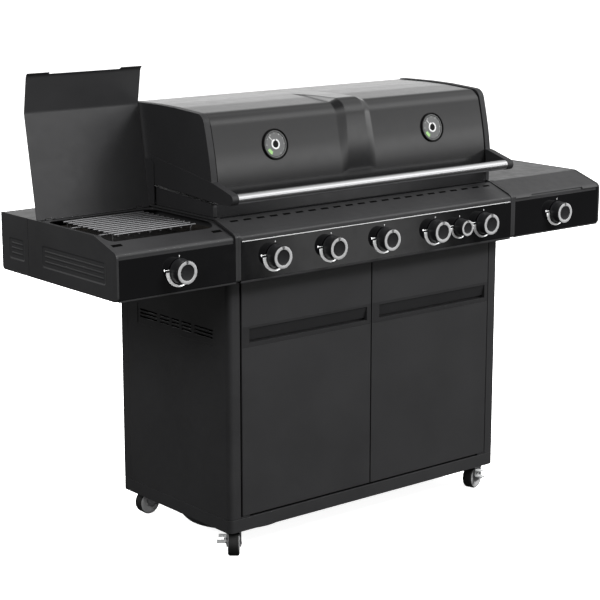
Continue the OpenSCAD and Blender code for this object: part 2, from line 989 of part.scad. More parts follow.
// Infrared burner: a perforated plate in a box, standing in the left well
module sear_burner() {
    color("#3a3836")
    cart()
    mirror([1, 0, 0]) {
        burner_well();
        side_venturi(150, well_z + 3);
        difference() {
            block([well_x0 + 26, well_y0 + 22, 768], [well_x1 - 26, well_y1 - 12, 786]);
            block([well_x0 + 30, well_y0 + 26, 772], [well_x1 - 30, well_y1 - 16, 790]);
        }
        for (x = [well_x0 + 40, well_x1 - 50], y = [well_y0 + 40, well_y1 - 40])
        block([x, y, well_z + 1], [x + 10, y + 10, 769]);
    }
}

// Wire grate over the sear burner: wires along X on ribs, legs on the burner's rim and two prongs in the well
module sear_grate() {
    wires = 11;
    wire_r = 3;
    rib_r = 2.5;
    leg_r = 2.2;
    y0 = 50;
    y1 = 274;
    x0 = 537;
    x1 = 776;
    rib_n = 8;
    top = module_top - 3.4;
    rib_z = top - wire_r - 3.2;
    prong_x = x1 + 20;
    color(steel)
    cart()
    mirror([1, 0, 0]) {
        for (i = [0 : wires - 1])
        rod_x(wire_r, x0, x1, y0 + i * (y1 - y0) / (wires - 1), top - wire_r);
        for (i = [0 : rib_n - 1])
        rod_y(rib_r, x0 + 12 + i * (x1 - x0 - 24) / (rib_n - 1), y0 - 2, y1 + 2, rib_z);
        for (y = [84, 207]) {
            rod_x(leg_r, x1 - 9, prong_x + 0.5, y, rib_z - 0.5);
            translate([prong_x, y, well_z + 2.3])
            cylinder(r = rib_r, h = rib_z - well_z);
        }
        for (x = [x0 + 5, x1 - 5], y = [y0 + 12, y1 - 12])
        translate([x, y, 786.3])
        cylinder(r = leg_r, h = rib_z - 784);
    }
}

side_burner_at = [module_mid, 152];

module side_burner() {
    color("#3a3836")
    cart() {
        burner_well();
        side_venturi(side_burner_at[1] + 9, well_z + 3);
        translate([side_burner_at[0], side_burner_at[1], well_z + 1]) {
            cylinder(r = 30, h = 18);
            translate([0, 0, 18])
            cylinder(r = 44, h = 12);
            translate([0, 0, 30])
            cylinder(r = 40, h = 4);
        }
    }
}

// Cast pan support: a frame with fingers towards the burner
module pan_support() {
    bar = 7;
    top = 806;
    x0 = well_x0 + 20;
    x1 = well_x1 - 20;
    y0 = well_y0 + 20;
    y1 = well_y1 - 16;
    finger = 70;
    color(cast)
    cart() {
        difference() {
            block([x0, y0, top - 10], [x1, y1, top]);
            block([x0 + bar, y0 + bar, top - 11], [x1 - bar, y1 - bar, top + 1]);
        }
        for (y = [y0 + 50, (y0 + y1) / 2, y1 - 50]) {
            block([x0 + 1, y, top - 9], [x0 + finger, y + bar, top]);
            block([x1 - finger, y, top - 9], [x1 - 1, y + bar, top]);
        }
        for (y = [[y0 + 1, y0 + finger], [y1 - finger, y1 - 1]])
        block([module_mid - bar / 2, y[0], top - 9], [module_mid + bar / 2, y[1], top]);
        for (x = [x0, x1 - bar], y = [y0, y1 - bar])
        block([x, y, well_z + 2.3], [x + bar, y + bar, top - 5]);
    }
}

// ---- Grease tray ----

module grease_tray() {
    z0 = 671.4;
    z1 = 694;
    y0 = box_y0 + 40;
    y1 = box_y1 + 20;
    color("#8f9193")
    cart() {
        difference() {
            block([-tray_x + 0.6, y0, z0], [tray_x - 0.6, y1, z1]);
            block([-tray_x + 2.2, y0 + 1.6, z0 + 1.6], [tray_x - 2.2, y1 - 1.6, z1 + 1]);
        }
        block([-60, y1 - 0.5, z1 - 2], [60, y1 + 22, z1]);
        block([-60, y1 + 20, z1 - 10], [60, y1 + 22, z1]);
    }
}

// ---- Lid ----

lid_front = [[46, 862, 0], [49, 900, 700], [56.4, 953, 700], [69.6, 1013, 1200], [84, 1069, 30]];
lid_top = [[205, 1076.5, 0], [284, 1078, 0], [400, 1076.5, 0]];
lid_rear_y = 416;
lid_line = concat(lid_front, lid_top, [[lid_rear_y, 1076, 14], [lid_rear_y, pivot_z, 0]]);

// Skin of the lid between its end castings, with the raised rib down its middle
module lid_skin() {
    rib_x = 33;
    edge_x = 58;
    skin_x = lid_x - lid_rim - 0.2;
    rib_section = [[-edge_x, 0], [-rib_x, -9.5], [rib_x, -9.5], [edge_x, 0]];
    color("#353538")
    cart()
    difference() {
        union() {
            along_x(-skin_x, skin_x)
            polygon(ribbon(lid_line, -sheet));
            hull() {
                translate([-edge_x, 66, 990])
                cube([2 * edge_x, 4, 4]);
                translate([-rib_x, 69, 1034])
                cube([2 * rib_x, 6, 10]);
                translate([-rib_x, 100, 1074])
                cube([2 * rib_x, 10, 6]);
                translate([-edge_x, 98, 1066])
                cube([2 * edge_x, 10, 4]);
                translate([-edge_x, 78, 1034])
                cube([2 * edge_x, 6, 10]);
            }
        }
        along_x(-skin_x + 1, skin_x - 1)
        polygon(concat([[lid_rear_y - sheet, 850], [60, 850]], line(moved_line(lid_line, -sheet, false))));
    }
}

// End castings of the lid with their rims, the arms that carry the handle and the pivot bores
module lid_ends() {
    swing_r = 36;
    cheek = concat(
        [[46, 857.5, 0], [183.7, 864.6, 0], [292.4, 871.5, 0]],
        [for (a = [-70 : 14 : 0]) [pivot_y + swing_r * cos(a), pivot_z + swing_r * sin(a), 0]],
        [[lid_rear_y, 1076, 14]],
        reversed(lid_top),
        [for (i = [len(lid_front) - 1 : -1 : 1]) lid_front[i]]
    );
    arm = rounded(concat(
        [for (a = [120 : 30 : 270]) [handle_y + 14.5 * cos(a), handle_z + 14.5 * sin(a), 0]],
        [[29.4, 855.6, 0], [183.7, 864.6, 0], [292.4, 871.5, 0], [312, 874, 0]],
        [[317, 947, 6], [182, 926.5, 0], [39, 903.6, 0]]
    ));
    color("#303033")
    cart()
    both()
    difference() {
        union() {
            along_x(lid_x - 4, lid_x)
            polygon(rounded(cheek));
            along_x(lid_x - lid_rim, lid_x)
            difference() {
                polygon(rounded(cheek));
                polygon(rounded(inset(cheek, 6)));
            }
            along_x(lid_x - lid_rim, lid_x + 2.2)
            polygon(arm);
            rod_x(12, lid_x - 8, lid_x + 2.2, pivot_y, pivot_z);
        }
        rod_x(pivot_r + pin_gap, lid_x - 9, lid_x + 3, pivot_y, pivot_z);
    }
}

module lid_handle() {
    end = lid_x - lid_rim + 6;
    color("#e4e5e6")
    cart()
    difference() {
        rod_x(handle_r, -end, end, handle_y, handle_z);
        rod_x(handle_r - 2, -end - 1, end + 1, handle_y, handle_z);
    }
}

// Dial thermometers set in the lid's face, leaning with it
module thermometers() {
    lean = 12;
    color("#a5a8a8")
    cart()
    for (s = [-1, 1])
    translate([s * gauge_x, 62.5, gauge_z])
    rotate([90 - lean, 0, 0]) {
        difference() {
            translate([0, 0, -3])
            cylinder(r = 40, h = 9);
            translate([0, 0, 3])
            cylinder(r = 36, h = 4);
        }
        translate([0, 0, -60])
        cylinder(r = 3, h = 60);
    }
}

// ---- Casters ----

axle_z = wheel_r - ground_gap;
axle_r = 4;
arm_in = wheel_w / 2 + 3;
arm_t = 2.5;
// Each caster's place, swivel angle at rest and the side its brake pedal is on
caster_at = [
    [-cab_x + stem_in, stem_front, 230.7, -1],
    [cab_x - stem_in, stem_front, 195.6, 1],
    [-cab_x + stem_in, stem_rear, 0, 1],
    [cab_x - stem_in, stem_rear, 320, -1]
];

module at_caster(i) {
    cart()
    translate([caster_at[i][0], caster_at[i][1], 0])
    rotate([0, 0, caster_at[i][2]])
    mirror([0, caster_at[i][3] < 0 ? 1 : 0, 0])
    children();
}

brake_x = trail + 13;
brake_z = axle_z + 17;

// Fork: swivel head, crown, two arms and the axle; the trail runs along +X, the brake pin along +Y
module caster_fork(i) {
    color(steel)
    at_caster(i) {
        difference() {
            translate([0, 0, 8])
            cylinder(r = 17, h = 16);
            translate([0, 0, 7])
            cylinder(r = race_r, h = 18);
        }
        difference() {
            block([-15, -arm_in - arm_t, 8], [trail + 16, arm_in + arm_t, 11]);
            translate([0, 0, 7])
            cylinder(r = 10, h = 6);
        }
        for (s = [-1, 1])
        translate([0, s > 0 ? arm_in : -arm_in - arm_t, 0])
        along_y(0, arm_t)
        polygon(rounded([
            [trail - 9, axle_z - 9, 8], [trail + 9, axle_z - 9, 8], [trail + 16, brake_z, 3],
            [trail + 16, 10, 0], [-13, 10, 0]
        ]));
        rod_y(axle_r, trail, -arm_in - arm_t - 1.5, arm_in + arm_t + 1.5, axle_z);
        rod_y(2.5, brake_x, arm_in, arm_in + arm_t + 6, brake_z);
    }
}

// Wheel with a chamfered tread and proud side discs
module caster_wheel(i) {
    w = wheel_w / 2;
    disc_r = wheel_r - 4.5;
    color("#1a1a1a")
    at_caster(i)
    translate([trail, 0, axle_z])
    rotate([90, 0, 0])
    rotate_extrude($fn = 64)
    polygon([
        [axle_r + pin_gap, -w - 2], [disc_r, -w - 2], [disc_r, -w], [wheel_r - 3, -w], [wheel_r, -w + 3],
        [wheel_r, w - 3], [wheel_r - 3, w], [disc_r, w], [disc_r, w + 2], [axle_r + pin_gap, w + 2]
    ]);
}

// Rocking brake pedal beside the fork
module caster_brake(i) {
    y0 = pedal_y0;
    color("#a9abab")
    at_caster(i)
    difference() {
        union() {
            along_y(y0, y0 + 3)
            polygon(rounded([
                [brake_x - 9, brake_z - 11, 4], [brake_x + 8, brake_z - 11, 4],
                [brake_x + 8, brake_z + 11, 4], [brake_x - 9, brake_z + 11, 4]
            ]));
            block([brake_x - 9, y0 + 1, brake_z - 10], [brake_x + 8, y0 + pedal_l, brake_z - 6]);
            block([brake_x - 9, y0 + 1, brake_z + 7], [brake_x + 8, y0 + 19, brake_z + 10]);
        }
        rod_y(2.5 + pin_gap, brake_x, y0 - 1, y0 + 5, brake_z);
    }
}

module caster_fork_fl() { caster_fork(0); }
module caster_fork_fr() { caster_fork(1); }
module caster_fork_rl() { caster_fork(2); }
module caster_fork_rr() { caster_fork(3); }
module caster_wheel_fl() { caster_wheel(0); }
module caster_wheel_fr() { caster_wheel(1); }
module caster_wheel_rl() { caster_wheel(2); }
module caster_wheel_rr() { caster_wheel(3); }
module caster_brake_fl() { caster_brake(0); }
module caster_brake_fr() { caster_brake(1); }
module caster_brake_rl() { caster_brake(2); }
module caster_brake_rr() { caster_brake(3); }

base_frame();
bottle_tray();
side_panel_left();
side_panel_right();
rear_posts();
rear_panel();
cart_frame();
firebox();
firebox_ends();
burner_tubes();
flame_tamers();
cooking_grates();
warming_rack();
gas_manifold();
gas_valves();
control_panel();
panel_glass();
left_side_plate();
left_module_pan();
left_deck();
left_glass();
sear_burner();
sear_grate();
right_side_plate();
right_module_pan();
right_deck();
right_glass();
side_burner();
pan_support();
grease_tray();
left_cover();
right_cover();
lid_skin();
lid_ends();
lid_handle();
thermometers();
door_left();
door_right();
door_handle_left();
door_handle_right();
knob_1();
knob_2();
knob_3();
knob_4();
knob_5();
knob_6();
knob_left();
knob_right();
caster_fork_fl();
caster_fork_fr();
caster_fork_rl();
caster_fork_rr();
caster_wheel_fl();
caster_wheel_fr();
caster_wheel_rl();
caster_wheel_rr();
caster_brake_fl();
caster_brake_fr();
caster_brake_rl();
caster_brake_rr();
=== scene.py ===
"""Looks of the gas barbecue grill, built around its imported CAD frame.

Blender's unit is the metre. Sizes that belong to the grill are given in millimetres in the cart's own
frame (x from the middle, y back from the cabinet's front, z up from the skirt's bottom edge), and place()
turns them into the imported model's frame.
"""
import json
import math

import bpy
from mathutils import Matrix, Vector

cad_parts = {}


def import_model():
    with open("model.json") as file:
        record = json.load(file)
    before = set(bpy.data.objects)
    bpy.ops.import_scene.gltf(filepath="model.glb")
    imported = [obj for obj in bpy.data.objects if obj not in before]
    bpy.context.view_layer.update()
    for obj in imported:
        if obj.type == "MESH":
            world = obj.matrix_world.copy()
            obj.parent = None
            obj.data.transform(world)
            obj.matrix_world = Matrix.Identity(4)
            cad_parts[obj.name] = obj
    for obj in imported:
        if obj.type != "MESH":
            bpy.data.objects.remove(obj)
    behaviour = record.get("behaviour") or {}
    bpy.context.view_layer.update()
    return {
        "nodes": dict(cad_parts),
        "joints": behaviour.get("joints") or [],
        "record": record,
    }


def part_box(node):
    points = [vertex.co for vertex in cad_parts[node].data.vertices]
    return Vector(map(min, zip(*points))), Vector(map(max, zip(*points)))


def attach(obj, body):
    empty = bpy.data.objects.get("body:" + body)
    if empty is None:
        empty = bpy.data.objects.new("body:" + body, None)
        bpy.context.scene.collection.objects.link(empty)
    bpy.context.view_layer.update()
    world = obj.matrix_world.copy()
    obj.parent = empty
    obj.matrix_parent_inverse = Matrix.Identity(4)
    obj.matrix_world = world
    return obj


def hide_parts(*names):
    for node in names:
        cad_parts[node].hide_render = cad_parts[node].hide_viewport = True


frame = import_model()

MM = 0.001
NODES = frame["nodes"]
JOINTS = {joint["name"]: joint for joint in frame["joints"]}
base_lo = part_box("base_frame")[0]
FRONT_Y = base_lo.y
SKIRT_Z = base_lo.z
scene = bpy.context.scene


def place(x, y, z):
    """A point of the cart's frame, in millimetres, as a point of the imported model."""
    return Vector((x * MM, FRONT_Y + y * MM, SKIRT_Z + z * MM))


def local(node):
    """The corners of a CAD node in the cart's frame, in millimetres."""
    shift = Vector((0, FRONT_Y, SKIRT_Z))
    lo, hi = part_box(node)
    return (lo - shift) / MM, (hi - shift) / MM


# ---- Materials ----

def tree(name):
    """A new node material: itself, its nodes, its links and its shader."""
    material = bpy.data.materials.new(name)
    material.use_nodes = True
    nodes = material.node_tree.nodes
    shader = nodes["Principled BSDF"]
    return material, nodes, material.node_tree.links, shader


def noise(nodes, links, coordinates, scale, detail=3.0):
    texture = nodes.new("ShaderNodeTexNoise")
    texture.inputs["Scale"].default_value = scale
    texture.inputs["Detail"].default_value = detail
    links.new(coordinates.outputs["Object"], texture.inputs["Vector"])
    return texture.outputs["Fac"]


def remap(nodes, links, value, low, high, start=0.3, end=0.7):
    span = nodes.new("ShaderNodeMapRange")
    span.inputs["From Min"].default_value = start
    span.inputs["From Max"].default_value = end
    span.inputs["To Min"].default_value = low
    span.inputs["To Max"].default_value = high
    links.new(value, span.inputs["Value"])
    return span.outputs["Result"]


def mixed(nodes, links, fac, a, b):
    mix = nodes.new("ShaderNodeMix")
    mix.data_type = "RGBA"
    mix.inputs["A"].default_value = (*a, 1)
    mix.inputs["B"].default_value = (*b, 1)
    links.new(fac, mix.inputs["Factor"])
    return mix.outputs["Result"]


def bumped(nodes, links, shader, height, distance, strength):
    bump = nodes.new("ShaderNodeBump")
    bump.inputs["Strength"].default_value = strength
    bump.inputs["Distance"].default_value = distance
    links.new(height, bump.inputs["Height"])
    links.new(bump.outputs["Normal"], shader.inputs["Normal"])


def scaled(colour, gain):
    return tuple(min(1.0, c * gain) for c in colour)


def surface(name, colour, rough, metal=0.0, grain=700.0, depth=0.00008, spread=0.12, uneven=0.05,
            coat=0.0, ior=1.5, strength=0.4):
    """Paint, plastic, rubber or casting: fine grain in the bump, broad variation of tone and gloss."""
    material, nodes, links, shader = tree(name)
    where = nodes.new("ShaderNodeTexCoord")
    broad = noise(nodes, links, where, 5.0, 4.0)
    smudge = noise(nodes, links, where, 38.0, 5.0)
    fine = noise(nodes, links, where, grain, 2.0)
    shades = (scaled(colour, 1 - spread), scaled(colour, 1 + spread))
    tone = mixed(nodes, links, remap(nodes, links, broad, 0, 1), *shades)
    links.new(tone, shader.inputs["Base Color"])
    links.new(remap(nodes, links, smudge, rough - uneven, rough + uneven), shader.inputs["Roughness"])
    shader.inputs["Metallic"].default_value = metal
    shader.inputs["IOR"].default_value = ior
    shader.inputs["Coat Weight"].default_value = coat
    shader.inputs["Coat Roughness"].default_value = 0.08
    bumped(nodes, links, shader, fine, depth, strength)
    return material


# Noise scales across and along the lines of brushed metal
BRUSH_ACROSS = 2400.0
BRUSH_ALONG = 30.0


def brushed(name, colour, rough, along, depth=0.00003, uneven=0.06):
    """Brushed metal whose fine lines run along one axis (0, 1 or 2)."""
    material, nodes, links, shader = tree(name)
    where = nodes.new("ShaderNodeTexCoord")
    mapping = nodes.new("ShaderNodeMapping")
    scale = [BRUSH_ACROSS] * 3
    scale[along] = BRUSH_ALONG
    mapping.inputs["Scale"].default_value = scale
    links.new(where.outputs["Object"], mapping.inputs["Vector"])
    lines = nodes.new("ShaderNodeTexNoise")
    lines.inputs["Scale"].default_value = 1.0
    lines.inputs["Detail"].default_value = 2.0
    links.new(mapping.outputs["Vector"], lines.inputs["Vector"])
    shades = (scaled(colour, 0.9), scaled(colour, 1.06))
    tone = mixed(nodes, links, remap(nodes, links, lines.outputs["Fac"], 0, 1), *shades)
    links.new(tone, shader.inputs["Base Color"])
    roughness = remap(nodes, links, lines.outputs["Fac"], rough - uneven, rough + uneven)
    links.new(roughness, shader.inputs["Roughness"])
    shader.inputs["Metallic"].default_value = 1.0
    if depth:
        bumped(nodes, links, shader, lines.outputs["Fac"], depth, 0.3)
    return material


def heat_stained(name, colour, rough):
    """Dark steel with brownish heat tints and a rough scale."""
    material, nodes, links, shader = tree(name)
    where = nodes.new("ShaderNodeTexCoord")
    broad = noise(nodes, links, where, 14.0, 5.0)
    scale_grain = noise(nodes, links, where, 420.0, 4.0)
    brown = (0.05, 0.043, 0.037)
    tint = mixed(nodes, links, remap(nodes, links, broad, 0, 1, 0.4, 0.62), colour, brown)
    links.new(tint, shader.inputs["Base Color"])
    links.new(remap(nodes, links, broad, rough + 0.1, rough - 0.1), shader.inputs["Roughness"])
    shader.inputs["Metallic"].default_value = 0.7
    bumped(nodes, links, shader, scale_grain, 0.0002, 0.5)
    return material


def perforated(name, colour, pitch):
    """Sheet with a grid of fine round holes, drawn as dark dots with a bumped edge."""
    hole = (0.002, 0.002, 0.002)
    material, nodes, links, shader = tree(name)
    where = nodes.new("ShaderNodeTexCoord")
    cells = nodes.new("ShaderNodeTexVoronoi")
    cells.inputs["Scale"].default_value = 1 / pitch
    cells.inputs["Randomness"].default_value = 0.0
    links.new(where.outputs["Object"], cells.inputs["Vector"])
    edge = remap(nodes, links, cells.outputs["Distance"], 0, 1, 0.34, 0.42)
    tone = mixed(nodes, links, edge, hole, colour)
    links.new(tone, shader.inputs["Base Color"])
    links.new(remap(nodes, links, noise(nodes, links, where, 60.0), 0.35, 0.55), shader.inputs["Roughness"])
    shader.inputs["Metallic"].default_value = 0.8
    bumped(nodes, links, shader, edge, 0.0006, 0.6)
    return material


POWDER = surface("powder_coat", (0.0125, 0.0125, 0.013), 0.36, grain=900, depth=0.00010, ior=1.6,
                 strength=0.35)
ENAMEL = surface("enamel", (0.006, 0.006, 0.0065), 0.22, grain=240, depth=0.00006, coat=0.5)
LID_PAINT = surface("lid_enamel", (0.0055, 0.0055, 0.0057), 0.17, grain=420, depth=0.00002, spread=0.05,
                    uneven=0.02, ior=1.62)
CAST_PAINT = surface("cast_black", (0.0095, 0.0095, 0.010), 0.46, grain=520, depth=0.00020, strength=0.5)
CAST_IRON = surface("cast_iron", (0.014, 0.014, 0.0145), 0.62, grain=330, depth=0.0004, spread=0.25,
                    strength=0.7)
PLASTIC = surface("handle_plastic", (0.0088, 0.0088, 0.0092), 0.46, grain=1300, depth=0.00010)
KNOB_BLACK = surface("knob_plastic", (0.006, 0.006, 0.0065), 0.30, grain=1600, depth=0.00004, uneven=0.03)
RUBBER = surface("caster_rubber", (0.006, 0.006, 0.006), 0.62, grain=600, depth=0.0002, spread=0.3)
PEDAL_GREY = surface("brake_plastic", (0.30, 0.305, 0.305), 0.4, grain=900, depth=0.00006, spread=0.05)
PRINT = surface("print_white", (0.86, 0.865, 0.865), 0.42, grain=1800, depth=0.00001, spread=0.03)
BEZEL = surface("bezel_black", (0.0018, 0.0018, 0.0018), 0.35, grain=1600, depth=0.00002, ior=1.25)
PRINT_GREEN = surface("print_green", (0.15, 0.26, 0.10), 0.45, grain=1800, depth=0.00001, spread=0.05)
BRASS = surface("brass", (0.60, 0.47, 0.22), 0.32, metal=1.0, grain=900, depth=0.00004, spread=0.08)
POLISHED = surface("polished_steel", (0.70, 0.70, 0.71), 0.22, metal=1.0, grain=1500, depth=0.000002,
                   spread=0.02, uneven=0.02)
WIRE = brushed("chrome_wire", (0.42, 0.42, 0.43), 0.38, 0, depth=0.0, uneven=0.03)
STAINLESS = brushed("stainless", (0.50, 0.50, 0.51), 0.36, 1)
GALVANISED = brushed("galvanised", (0.42, 0.43, 0.44), 0.44, 0)
ZINC = surface("caster_steel", (0.42, 0.42, 0.43), 0.36, metal=1.0, grain=500, depth=0.00005)
RING_SILVER = surface("ring_silver", (0.20, 0.20, 0.202), 0.42, grain=1500, depth=0.00002, spread=0.04)
DISC_GREY = surface("disc_grey", (0.23, 0.23, 0.232), 0.42, grain=900, depth=0.00003, spread=0.06)
DIAL_GREY = surface("gauge_face", (0.055, 0.056, 0.056), 0.42, grain=1500, depth=0.00003, spread=0.05)
GLASS = surface("black_glass", (0.002, 0.002, 0.0022), 0.06, grain=2600, depth=0.00001, uneven=0.025,
                strength=0.05)
SHADOW = surface("slot_shadow", (0.0012, 0.0012, 0.0012), 0.8, grain=300, depth=0.0001, ior=1.08)
PRINT_GREY = surface("print_grey", (0.34, 0.342, 0.342), 0.42, grain=1800, depth=0.00001, spread=0.03)
BURNER = heat_stained("burner_dark", (0.03, 0.028, 0.026), 0.5)
MESH_SHEET = perforated("perforated_sheet", (0.045, 0.044, 0.043), 0.0042)
SLOT_MATERIAL = {
    "powder_coat": POWDER, "enamel": ENAMEL, "cast_black": CAST_PAINT, "lid_enamel": LID_PAINT,
    "stainless": STAINLESS, "polished_steel": POLISHED, "chrome_wire": WIRE, "galvanised": GALVANISED,
    "cast_iron": CAST_IRON, "brass": BRASS, "black_glass": GLASS, "burner_dark": BURNER,
    "gauge_face": DIAL_GREY, "handle_plastic": PLASTIC, "knob_plastic": KNOB_BLACK,
    "caster_steel": ZINC, "caster_rubber": RUBBER, "brake_plastic": PEDAL_GREY,
}


# ---- Mesh helpers ----

BEVEL_SEGMENTS = 2
# Edges sharper than this are rounded, in degrees
BEVEL_ANGLE = 38.0
BOX_FACES = [[0, 3, 2, 1], [4, 5, 6, 7], [0, 1, 5, 4], [1, 2, 6, 5], [2, 3, 7, 6], [3, 0, 4, 7]]


def clamped(value):
    return min(1.0, max(0.0, value))


def build(name, parts, materials, body, matrix=None, bevel=0.0, sharp=35.0):
    """One piece from several (vertices in mm, faces, material index) parts, riding on a body."""
    vertices = []
    faces = []
    indices = []
    for points, polygons, index in parts:
        start = len(vertices)
        vertices += points
        faces += [[start + i for i in polygon] for polygon in polygons]
        indices += [index] * len(polygons)
    mesh = bpy.data.meshes.new(name)
    mesh.from_pydata([Vector(v) * MM for v in vertices], [], faces)
    for material in materials:
        mesh.materials.append(material)
    mesh.polygons.foreach_set("material_index", indices)
    mesh.polygons.foreach_set("use_smooth", [True] * len(faces))
    mesh.set_sharp_from_angle(angle=math.radians(sharp))
    obj = bpy.data.objects.new(name, mesh)
    scene.collection.objects.link(obj)
    mesh.transform(matrix or Matrix.Translation(place(0, 0, 0)))
    mesh.update()
    if bevel:
        soften(obj, bevel)
    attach(obj, body)
    return obj


def soften(obj, width):
    """Rounds the sharp edges of a piece by a width in millimetres."""
    edge = obj.modifiers.new("edges", "BEVEL")
    edge.width = width * MM
    edge.segments = BEVEL_SEGMENTS
    edge.limit_method = "ANGLE"
    edge.angle_limit = math.radians(BEVEL_ANGLE)
    edge.harden_normals = False
    normals = obj.modifiers.new("normals", "WEIGHTED_NORMAL")
    normals.keep_sharp = True


def lathe(profile, steps=64, start=0.0, sweep=360.0):
    """Turns an open (radius, height) profile about Z. Radius 0 at an end closes it."""
    whole = abs(sweep - 360.0) < 1e-6
    rings = steps if whole else steps + 1
    points = []
    faces = []
    for i in range(rings):
        angle = math.radians(start + sweep * i / steps)
        points += [(r * math.cos(angle), r * math.sin(angle), h) for r, h in profile]
    n = len(profile)
    for i in range(steps):
        a = i * n
        b = ((i + 1) % rings) * n
        for j in range(n - 1):
            faces.append([a + j, b + j, b + j + 1, a + j + 1])
    return merged(points, faces)


def merged(points, faces):
    """Joins points that lie on each other and drops what collapses."""
    seen = {}
    kept = []
    where = []
    for p in points:
        key = tuple(round(c, 4) for c in p)
        if key not in seen:
            seen[key] = len(kept)
            kept.append(p)
        where.append(seen[key])
    clean = []
    for face in faces:
        ring = []
        for i in face:
            if where[i] not in ring:
                ring.append(where[i])
        if len(ring) > 2:
            clean.append(ring)
    return kept, clean


def arc_band(r_outer, inner_at, start, sweep, low, high, steps=48):
    """A flat curved band from start over sweep degrees; inner_at(t) is its inner radius along the way."""
    points = []
    faces = []
    for i in range(steps + 1):
        t = i / steps
        angle = math.radians(start + sweep * t)
        for r, h in ((inner_at(t), low), (r_outer, low), (r_outer, high), (inner_at(t), high)):
            points.append((r * math.cos(angle), r * math.sin(angle), h))
    for i in range(steps):
        a = i * 4
        for j in range(4):
            k = (j + 1) % 4
            faces.append([a + j, a + 4 + j, a + 4 + k, a + k])
    faces.append([3, 2, 1, 0])
    last = steps * 4
    faces.append([last, last + 1, last + 2, last + 3])
    return points, [list(reversed(f)) for f in faces]


def block(lo, hi):
    (x0, y0, z0), (x1, y1, z1) = lo, hi
    points = [(x, y, z) for z in (z0, z1) for x, y in ((x0, y0), (x1, y0), (x1, y1), (x0, y1))]
    return points, BOX_FACES


def prism(outline, low, high):
    """A closed (x, y) outline, counter-clockwise, raised from low to high."""
    n = len(outline)
    points = [(x, y, low) for x, y in outline] + [(x, y, high) for x, y in outline]
    faces = [list(range(n - 1, -1, -1)), list(range(n, 2 * n))]
    faces += [[i, (i + 1) % n, n + (i + 1) % n, n + i] for i in range(n)]
    return points, faces


def shifted(part, offset):
    points, faces = part
    return [(x + offset[0], y + offset[1], z + offset[2]) for x, y, z in points], faces


def turned(part, matrix):
    points, faces = part
    return [tuple(matrix @ Vector(p)) for p in points], faces


def rounded_line(entries, steps):
    """Points of an open line of (x, y, corner radius) entries."""
    out = [Vector(entries[0][:2])]
    for before, entry, after in zip(entries, entries[1:], entries[2:]):
        b = Vector(entry[:2])
        if not entry[2]:
            out.append(b)
            continue
        u = (Vector(before[:2]) - b).normalized()
        v = (Vector(after[:2]) - b).normalized()
        half = u.angle(v) / 2
        centre = b + (u + v).normalized() * entry[2] / math.sin(half)
        p0 = b + u * entry[2] / math.tan(half) - centre
        p1 = b + v * entry[2] / math.tan(half) - centre
        sweep = (math.atan2(p1.y, p1.x) - math.atan2(p0.y, p0.x) + math.pi) % (2 * math.pi) - math.pi
        for i in range(steps + 1):
            out.append(centre + Matrix.Rotation(sweep * i / steps, 2) @ p0)
    out.append(Vector(entries[-1][:2]))
    return out


# ---- CAD nodes that stay: rounded edges and a material ----

WELD_DISTANCE = 0.02
# Faces that differ by less than this are joined into one, in degrees
PLANAR_ANGLE = 0.4


def dress(node, material, width):
    obj = NODES[node]
    mesh = obj.data
    if "custom_normal" in mesh.attributes:
        mesh.attributes.remove(mesh.attributes["custom_normal"])
    mesh.materials.clear()
    mesh.materials.append(material)
    mesh.polygons.foreach_set("use_smooth", [True] * len(mesh.polygons))
    weld = obj.modifiers.new("weld", "WELD")
    weld.merge_threshold = WELD_DISTANCE * MM
    flat = obj.modifiers.new("planar", "DECIMATE")
    flat.decimate_type = "DISSOLVE"
    flat.angle_limit = math.radians(PLANAR_ANGLE)
    soften(obj, width)


# Width of the rounded edges, in millimetres, where it isn't the usual one
USUAL_WIDTH = 0.5
WIDTH = {
    "control_panel": 0.7, "panel_glass": 0.4, "left_glass": 0.4, "right_glass": 0.4, "door_left": 1.2,
    "door_right": 1.2, "lid_ends": 1.6, "firebox_ends": 1.2, "left_side_plate": 0.8, "right_side_plate": 0.8,
    "base_frame": 0.8, "side_panel_left": 0.4, "side_panel_right": 0.4,
    "cooking_grates": 1.2, "pan_support": 1.4, "warming_rack": 0.3, "sear_grate": 0.3, "lid_handle": 0.6,
    "gas_valves": 0.6, "left_deck": 0.4, "right_deck": 0.4, "bottle_tray": 0.6,
}
REPLACED = {"lid_skin", "thermometers"}
REPLACED |= {name for name in NODES if name.startswith(("knob_", "caster_wheel_"))}
for part in frame["record"]["subparts"]:
    if part["node"] not in REPLACED:
        dress(part["node"], SLOT_MATERIAL[part["material_slot"]], WIDTH.get(part["node"], USUAL_WIDTH))


# ---- Lid skin with its raised rib ----

# How far the end castings stand proud of the skin, and the width of their rim
END_PROUD = 2.2
LID_RIM = 18.5
RIM_X = local("lid_ends")[1].x - END_PROUD - LID_RIM
# The rib rises up the lid's front to the crease, and fades out along the top from the bend to its end
RIB_START_Z = 888
CREASE_Z = 1037.6
RIB_BEND_Y = 110
RIB_END_Y = 286
RIB_HEIGHT = 9.3


def rib_shape(y, z):
    """Half-widths of the rib's crown and foot, and its height, at a point of the lid's profile."""
    if y < RIB_BEND_Y:
        rise = clamped((z - RIB_START_Z) / (CREASE_Z - RIB_START_Z))
        return 39 - 6 * rise, 60 - 2 * rise, RIB_HEIGHT * rise ** 0.8
    fade = clamped((RIB_END_Y - y) / (RIB_END_Y - RIB_BEND_Y))
    return 46 - 13 * fade, 47 + 11 * fade, RIB_HEIGHT * fade


def trapezoid(x, inner, outer):
    return clamped((outer - abs(x)) / (outer - inner))


